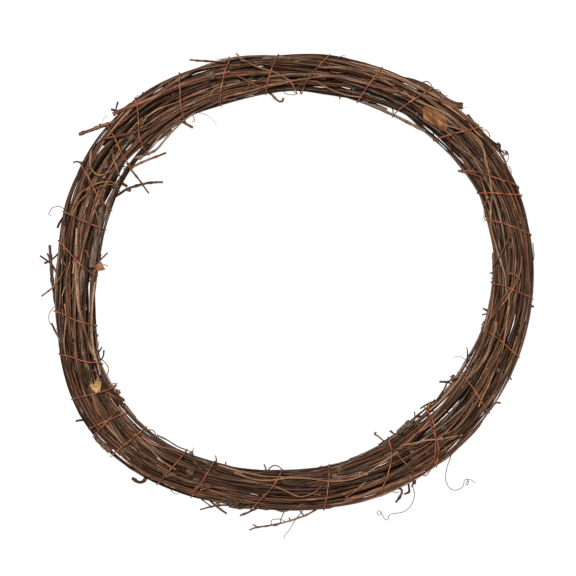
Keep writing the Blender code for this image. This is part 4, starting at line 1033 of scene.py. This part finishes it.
# pixels of the picture, height at the root and at the tip in mm, thickness in pixels
tendril = {
    "rows": (
        ((413, 480, 413, 487.1, 414.6, 495.3, 411, 505.5, 403.9, 511.6, 393.7, 513.7, 389.6, 514.7, 387.6, 519.8,
          384.5, 518.8, 381.9, 513.7, 379.4, 510.6, 377.2, 512.6, 379, 515.2, 381.4, 513.6, 380, 511.8), 14, 10, 0.9),
        ((452, 452, 449.8, 459.6, 446.7, 468.8, 445.7, 480, 449.8, 488.2, 456.9, 490.2, 463.1, 486.1, 464.1, 481,
          466, 479.6, 470.2, 479.5, 475.3, 483.1), 15, 18, 0.9),
        ((467.5, 479.5, 468.4, 483, 466.4, 485, 466, 482.5, 469, 481), 17, 18, 0.9),
        ((398.8, 492.2, 393.7, 492.2, 392.7, 488.2, 396, 486), 12, 14, 0.8),
        ((303, 505, 302.2, 511.2, 298.2, 516.3, 293, 523.5, 289, 530.6, 284.9, 534.7, 284.4, 538.3), 12, 7, 0.9),
        ((285, 507, 283.9, 512.2, 280.8, 519.4, 279.8, 523.5, 274.7, 526, 271.1, 523.5, 272.4, 519.8, 279.8, 519.2,
          286, 522), 12, 10, 1.1),
        ((170, 484, 170.6, 489.2, 173.7, 493.3, 178.8, 494.3), 12, 9, 0.8),
        ((70, 214, 66, 210.4, 60, 206.4, 56, 206.6, 51.5, 208.5, 50, 212, 48.4, 214, 52, 216.4), 16, 18, 0.9),
        ((60, 303, 54.5, 306.5, 50, 312, 48.8, 316, 49.2, 321.8, 52, 326, 55.3, 331, 60, 334), 14, 14, 0.9),
        ((474, 360, 465.7, 359.4, 459.6, 356.3, 453.5, 357.3), 15, 17, 0.7),
        ((430, 94, 424, 88, 422, 84.5, 424.5, 81.6, 428.4, 82, 431.6, 85.6, 432.6, 90), 18, 19, 1.4),
        ((190, 110, 193, 116, 194.5, 121, 192, 122), 18, 16, 0.9),
        ((196, 112, 204, 114, 212, 119, 217, 126), 15, 14, 0.5),
        ((280, 86, 286, 93.6, 296, 94.4, 292, 90), 17, 17, 0.8),
        ((143, 105, 140, 97, 137.6, 95.6, 135.4, 97.6), 20, 21, 0.8),
        ((102, 125, 104, 118, 107, 116.4, 104.6, 113), 19, 21, 0.5),
        ((266, 472, 265.6, 468, 264, 464.3), 15, 16, 2.0),
        ((268, 472, 269.6, 468.4, 273.7, 465.6, 278.8, 466.6, 283, 471), 16, 16, 1.6),
        ((321, 472, 319.1, 467.3, 322.7, 465.6), 16, 17, 1.2),
        ((347, 466, 348.2, 462.2, 350.2, 459.2, 355.3, 457.6, 361.4, 458.7, 366, 459), 17, 17, 1.8),
        ((192.8, 456, 193, 451, 193.4, 447.6), 15, 16, 1.0),
        ((216, 464, 216.5, 460.6, 215.5, 455.5), 15, 15, 1.7),
        ((225.7, 465, 225.7, 461.6), 15, 15, 1.6),
        ((145, 433, 147, 430.4, 151.2, 429.8, 155, 432.4, 155.6, 437.1), 18, 18, 1.3),
        ((127.2, 425.2, 130.4, 424.6, 133.9, 423.2, 136.4, 425.4), 19, 19, 1.2),
        ((488, 332, 484.1, 327.8, 482, 324.7, 485.1, 320.6, 490, 319), 18, 19, 1.4),
        ((503, 150, 507.5, 152, 508.4, 158, 506, 163), 19, 19, 0.9),
        ((509, 166, 511.4, 172, 509, 178), 19, 18, 0.9),
        ((338, 58, 343, 55.6, 346, 56.2), 20, 20, 0.8),
        ((422, 475, 426.3, 475.4, 430.6, 469.8), 15, 14, 1.2),
        ((94, 372, 95.4, 362, 97.4, 352, 99, 341), 24, 25, 0.9),
    ),
    "sides": 6,
    # dried tendrils in a tangle: pixel, how many, size in mm
    "tangles": (
        (212, 76, 9, 3.2), (207, 74, 5, 2.4), (137, 140, 12, 4.6), (131, 137, 6, 3.4), (105, 165, 6, 3.4),
        (111, 186, 6, 2.8), (470, 150, 7, 2.6), (483, 160, 6, 2.4), (190, 472, 9, 3.4), (196, 480, 6, 3.0),
        (340, 471, 8, 3.4), (335, 476, 5, 2.6), (409, 424, 9, 3.4), (400, 431, 7, 3.0), (454, 378, 6, 2.6),
        (116, 393, 7, 2.6), (114, 386, 4, 2.0), (98, 441, 8, 3.0), (103, 447, 6, 3.0), (411, 479, 7, 2.8),
        (217, 506, 4, 2.2), (412, 452, 4, 2.2), (509, 152, 4, 2.2), (511, 277, 4, 2.0), (79, 250, 5, 3.4),
        (498, 370, 4, 2.4), (190, 455, 6, 2.6), (247, 508, 4, 2.2), (444, 428, 4, 2.4), (124, 452, 5, 2.8),
    ),
    "curls": 40,  # small dried curls among the canes
    "curlRadius": (0.9 * mm, 2.2 * mm),
    "curlThickness": (0.24 * mm, 0.42 * mm),
}
tendrilStrands = []
for number, (pixels, low, high, wide) in enumerate(tendril["rows"]):
    course = raised(pixels, low, high, 0.9 * mm)
    radius = 0.5 * wide * view["pixel"]
    radii = np.linspace(radius, 0.75 * radius, len(course))
    tendrilStrands.append(tube(course, radii, tendril["sides"], number * 1.7, 0.0, 0.0, 0.15))


def tangleStrands(px, py, count, size, seed):
    # short lengths that wander through one spot on top of the canes
    draw = random.Random(seed)
    middle = inPicture(px, py, 0.03)
    top = topAt(middle.x, middle.y) or 0.016
    out = []
    for number in range(int(1.5 * count)):
        reach = size * mm
        corners = []
        for _ in range(draw.randint(4, 7)):
            far, turn = reach * draw.random() ** 0.6, draw.uniform(0, 6.28)
            corners.append((
                middle.x + far * math.cos(turn), middle.y + far * math.sin(turn),
                top + draw.uniform(-0.1, 0.55) * reach,
            ))
        course = curveThrough(corners, 0.8 * mm)
        thick = draw.uniform(0.17, 0.36) * mm
        out.append(tube(course, np.linspace(thick, 0.7 * thick, len(course)), 5, seed + number * 0.9, 0.0))
    return out


def curlCourse(draw):
    angle = draw.uniform(0, 2 * math.pi)
    plane = int(angle / fineStep) % fine
    turn = math.pi / 2 + draw.gauss(0, 0.9)
    reach = hullAt(plane, turn) + 0.4 * mm
    base = pointAt(np.array(angle), middleOut[plane] + reach * math.cos(turn), ring["middle"] + reach * math.sin(turn))
    out = np.array((math.cos(turn) * math.cos(angle), math.cos(turn) * math.sin(angle), math.sin(turn)))
    along = np.array((-math.sin(angle), math.cos(angle), 0.0))
    across = np.cross(out, along)
    radius = draw.uniform(*tendril["curlRadius"])
    turns = draw.uniform(0.8, 2.6)
    stretch = draw.uniform(0.5, 2.6) * radius
    lean = draw.uniform(0, 2 * math.pi)
    axis = math.cos(lean) * along + math.sin(lean) * across
    other = math.cos(lean) * across - math.sin(lean) * along
    points = []
    for t in np.linspace(0, 1, int(turns * 11) + 4):
        size = radius * (1 - 0.45 * t)
        spin = 2 * math.pi * turns * t
        lift = out * size * (1 - math.cos(spin)) * 0.9
        points.append(base + axis * stretch * turns * t + other * size * math.sin(spin) + lift)
    return np.array(points)


draw = random.Random(31)
curlStrands = []
for number in range(tendril["curls"]):
    course = curlCourse(draw)
    course[:, 2] = np.maximum(course[:, 2], 0.6 * mm)
    thick = draw.uniform(*tendril["curlThickness"])
    curlStrands.append(tube(course, np.linspace(thick, 0.6 * thick, len(course)), 5, number * 0.9, 0.0))
for number, spot in enumerate(tendril["tangles"]):
    curlStrands += tangleStrands(*spot, 300 + 17 * number)
pieceOf("tendrils", tendrilStrands, [tendrilSkin])
pieceOf("dried_curls", curlStrands, [tendrilSkin])
print("tendrils made")


def sheetPiece(name, corners, rows, columns, thickness, shape, material, nodes=()):
    # a thin dry sheet between four corners of the picture, lying on what is below it
    grid, tones = [], []
    for i in range(rows + 1):
        for j in range(columns + 1):
            u, v = i / rows, j / columns
            u, v, lift, tone = shape(u, v)
            low = Vector(corners[0]).lerp(Vector(corners[1]), v)
            high = Vector(corners[3]).lerp(Vector(corners[2]), v)
            px, py = low.lerp(high, u)
            place = inPicture(px, py, 0.034)
            grid.append([place.x, place.y, topAt(place.x, place.y) or 0.02, lift])
            tones.append(tone)
    grid = np.array(grid).reshape(rows + 1, columns + 1, 4)
    height = grid[..., 2].copy()
    for _ in range(10):
        padded = np.pad(height, 1, mode="edge")
        eased = (padded[:-2, 1:-1] + padded[2:, 1:-1] + padded[1:-1, :-2] + padded[1:-1, 2:]) / 4
        height = np.maximum(eased, grid[..., 2] - 0.1 * mm)
    height += grid[..., 3] + 0.4 * mm
    top = np.stack([grid[..., 0], grid[..., 1], height + thickness], -1).reshape(-1, 3)
    bottom = np.stack([grid[..., 0], grid[..., 1], height], -1).reshape(-1, 3)
    count, wide = len(top), columns + 1
    faces = []
    for i in range(rows):
        for j in range(columns):
            a = i * wide + j
            faces.append([a, a + 1, a + wide + 1, a + wide])
            faces.append([count + a + wide, count + a + wide + 1, count + a + 1, count + a])
    rim = [j for j in range(columns)] + [i * wide + columns for i in range(rows)]
    rim += [rows * wide + j for j in range(columns, 0, -1)] + [i * wide for i in range(rows, 0, -1)]
    for a, b in zip(rim, rim[1:] + rim[:1]):
        faces.append([b, a, count + a, count + b])
    allCorners = np.vstack([top, bottom])
    wideRun = np.linalg.norm(top[wide * rows] - top[0])
    longRun = np.linalg.norm(top[columns] - top[0])
    steps = [(wideRun * i / rows, 0.0, longRun * j / columns) for i in range(rows + 1) for j in range(columns + 1)]
    sheet = (allCorners, faces, [0] * len(faces), np.array(steps + steps), np.array(tones + tones))
    pieceOf(name, [sheet], [material], nodes)


def leafShape(u, v):
    # torn short sides, a raised middle vein with side veins, and curled corners
    edge = 0.10 * noise.noise(Vector((u * 4, 0.5, 2.0)))
    v = v + edge * (1 if v > 0.5 else -1) * abs(2 * v - 1) ** 2
    tear = 0.09 * noise.noise(Vector((v * 5, 3.5, 7.0)))
    u = u + tear * abs(2 * u - 1) ** 2
    vein = math.exp(-(((u - 0.5) / 0.05) ** 2))
    side = max(0.0, math.cos((v * 5 + abs(u - 0.5) * 3) * 2 * math.pi)) ** 8 * 0.5
    lift = 0.25 * mm * vein + 0.12 * mm * side + 1.6 * mm * abs(2 * v - 1) ** 3 * (u if v > 0.5 else 1 - u)
    return u, v, lift, 0.10 * vein + 0.05 * side + 0.06 * (u - 0.5)


def huskShape(u, v):
    lift = 0.9 * mm * math.sin(math.pi * u) + 0.5 * mm * noise.noise(Vector((u * 3, v * 3, 9.0)))
    return u + 0.12 * noise.noise(Vector((v * 4, 1.0, 4.0))), v, lift, 0.12 - 0.1 * v


def stripShape(u, v):
    lift = 0.7 * mm * (2 * u - 1) ** 2 + 0.3 * mm * noise.noise(Vector((u * 3, v * 6, 5.0)))
    v = v + 0.10 * noise.noise(Vector((v * 3, u * 7, 6.0)))
    return u + 0.10 * noise.noise(Vector((u, v * 5, 6.0))), v, lift, 0.0


sheetPiece(
    "dry_leaf", ((423.7, 105.2), (446.2, 115.8), (446.9, 133.0), (424.2, 118.6)), 12, 16, 0.35 * mm, leafShape,
    dryLeaf, ["leaf_scrap"],
)
sheetPiece(
    "dry_husk", ((93.4, 265.6), (99.2, 261.0), (103.6, 269.6), (95.2, 271.4)), 6, 6, 0.35 * mm, huskShape,
    dryLeaf, ["husk_scrap"],
)
sheetPiece(
    "bark_piece", ((99, 390), (121, 404.8), (123.6, 400.5), (103, 385.5)), 6, 14, 0.5 * mm, stripShape,
    barkOf["agedVineBark"],
)
sheetPiece(
    "bark_strip_inner", ((121.5, 406), (133.5, 420.6), (135, 418.6), (123.4, 404)), 4, 14, 0.5 * mm, stripShape,
    barkOf["tanVineBark"],
)
sheetPiece(
    "bark_strip_corner", ((94, 436), (112, 450), (107, 455), (92, 440)), 5, 10, 0.5 * mm, stripShape,
    barkOf["redVineBark"],
)


flake = {
    "count": 130,
    "long": (4 * mm, 13 * mm),
    "wide": (0.5 * mm, 1.1 * mm),
    "lift": (0.3 * mm, 3.0 * mm),
    "lowest": 1.0 * mm,
    "flattened": 0.75,
    "rings": 7,
    "sides": 6,
}


def flakeStrand(draw, number):
    # a strip of bark that peels from a cane: a flat tube whose end stands off
    points, radii, _ = draw.choice(stems)
    i = draw.randrange(3, len(points) - 6)
    ahead = points[i + 1] - points[i]
    ahead /= np.linalg.norm(ahead)
    out = np.array((points[i][0] - ring["centre"][0], points[i][1] - ring["centre"][1], 0.0))
    out /= np.linalg.norm(out)
    turn = math.pi / 2 + draw.gauss(0, 1.0)
    away = math.cos(turn) * out + math.sin(turn) * np.array((0, 0, 1.0))
    long = draw.uniform(*flake["long"])
    wide = draw.uniform(*flake["wide"])
    way = draw.choice((-1, 1))
    lift = draw.uniform(*flake["lift"])
    share = np.linspace(0, 1, flake["rings"])[:, None]
    course = points[i] + away * (radii[i] * 0.92 + lift * share**2) + ahead * way * long * share
    course[:, 2] = np.maximum(course[:, 2], flake["lowest"])
    widths = np.linspace(wide, 0.35 * wide, flake["rings"])
    corners, faces, kinds, straight, tones = tube(
        course, widths, flake["sides"], 60 + number * 0.7, draw.uniform(0.0, 0.25), 0.0, 0.2,
    )
    flat = np.repeat(course, flake["sides"], axis=0)
    corners = corners - np.outer((corners - flat) @ away, away) * flake["flattened"]
    return corners, faces, kinds, straight, tones


draw = random.Random(77)
flakeStrands = {"tanVineBark": [], "agedVineBark": []}
for number in range(flake["count"]):
    flakeStrands["tanVineBark" if number % 3 else "agedVineBark"].append(flakeStrand(draw, number))
for kind, strands in flakeStrands.items():
    pieceOf("flakes_" + kind, strands, [barkOf[kind]])


def fibreStrands(seed, px, py, heading, spread, count, long):
    # torn fibres that fan out of a broken end
    draw = random.Random(seed)
    root = inPicture(px, py, 0.03)
    root.z = (topAt(root.x, root.y) or 0.03) - 0.5 * mm
    out = []
    for number in range(count):
        turn = math.radians(heading + draw.gauss(0, spread))
        rise = draw.uniform(-0.05, 0.45)
        run = np.array((math.cos(turn), math.sin(turn), rise))
        start = np.array(root) + np.array((draw.uniform(-1.6, 1.6), draw.uniform(-1.6, 1.6), draw.uniform(0, 0.8))) * mm
        reach = draw.uniform(0.45, 1.0) * long
        bend = np.array((draw.gauss(0, 1), draw.gauss(0, 1), draw.gauss(0, 0.5))) * 1.2 * mm
        course = np.array([start + run * reach * t + bend * t**2 for t in np.linspace(0, 1, 6)])
        thick = draw.uniform(0.22, 0.5) * mm
        out.append(tube(course, np.linspace(thick, 0.25 * thick, 6), 5, 80 + number, 0.0))
    return out


# seed, pixel, heading and its spread in degrees, how many fibres, the longest
frayedEnds = (
    (5, 94.5, 391, 108, 5, 10, 11 * mm), (6, 98, 390.5, 88, 6, 14, 12 * mm), (12, 96, 388, 285, 24, 8, 5 * mm),
)
tornEnds = ((8, 459.5, 103.5, 330, 16, 14, 5 * mm), (9, 486, 210, 262, 8, 5, 11 * mm))
pieceOf("frayed_fibres", [strand for row in frayedEnds for strand in fibreStrands(*row)], [bast])
pieceOf(
    "torn_ends", [strand for row in tornEnds for strand in fibreStrands(*row)], [barkOf["agedVineBark"]],
)
print("leaf, husk, flakes and fibres made")


def addCamera():
    lens = bpy.data.cameras.new("camera")
    lens.lens = view["lens"]
    lens.sensor_width = view["width"]
    made = bpy.data.objects.new("camera", lens)
    made.location = (camX, camY, camZ)
    bpy.context.scene.collection.objects.link(made)
    bpy.context.scene.camera = made


studio = {
    "floorSize": 30.0,
    "floorColour": "#3c3c3c",
    "floorGlow": 0.98,  # light that comes up through the table
    "worldColour": "#ffffff",
    "worldLevels": (1.0, 0.5),  # round the horizon, where it meets the table, and overhead
    "worldHeights": (0.02, 0.4),  # between which the one level goes over into the other
    "keyPower": 70.0,
    "keySize": 0.35,
    "keyPlace": (-0.25, 0.45, 1.9),
    "fillPower": 8.0,
    "fillSize": 1.4,
    "fillPlace": (0.9, -0.8, 1.3),
}


def addFloor():
    half = studio["floorSize"] / 2
    mesh = bpy.data.meshes.new("floor")
    mesh.from_pydata([(-half, -half, 0), (half, -half, 0), (half, half, 0), (-half, half, 0)], [], [(0, 1, 2, 3)])
    made = bpy.data.objects.new("floor", mesh)
    bpy.context.scene.collection.objects.link(made)
    material, _, shader = newMaterial("opalLightTable")  # a white table lit from below, so that shadows vanish
    shader.inputs["Base Color"].default_value = fromHex(studio["floorColour"])
    shader.inputs["Roughness"].default_value = 0.9
    shader.inputs["Specular IOR Level"].default_value = 0.1
    shader.inputs["Emission Color"].default_value = (1, 1, 1, 1)
    shader.inputs["Emission Strength"].default_value = studio["floorGlow"]
    mesh.materials.append(material)


def addLight(name, place, power, size):
    light = bpy.data.lights.new(name, "AREA")
    light.energy = power
    light.size = size
    made = bpy.data.objects.new(name, light)
    made.location = place
    made.rotation_euler = (-Vector(place)).to_track_quat("-Z", "Y").to_euler()
    made.visible_camera = False
    bpy.context.scene.collection.objects.link(made)


def addWorld():
    world = bpy.data.worlds.new("studio")
    bpy.context.scene.world = world
    world.use_nodes = True
    back = world.node_tree.nodes["Background"]
    back.inputs["Color"].default_value = fromHex(studio["worldColour"])
    tree = world.node_tree
    place = addNode(tree, "ShaderNodeTexCoord")
    height = addNode(tree, "ShaderNodeSeparateXYZ", {}, {0: place.outputs["Generated"]})
    low, high = studio["worldLevels"]
    start, end = studio["worldHeights"]
    level = addNode(
        tree, "ShaderNodeMapRange", {"From Min": start, "From Max": end, "To Min": low, "To Max": high},
        {"Value": height.outputs["Z"]},
    )
    tree.links.new(level.outputs[0], back.inputs["Strength"])


addCamera()
addFloor()
addLight("key", studio["keyPlace"], studio["keyPower"], studio["keySize"])
addLight("fill", studio["fillPlace"], studio["fillPower"], studio["fillSize"])
addWorld()
bpy.context.scene.view_settings.view_transform = "Standard"
print("stage set")
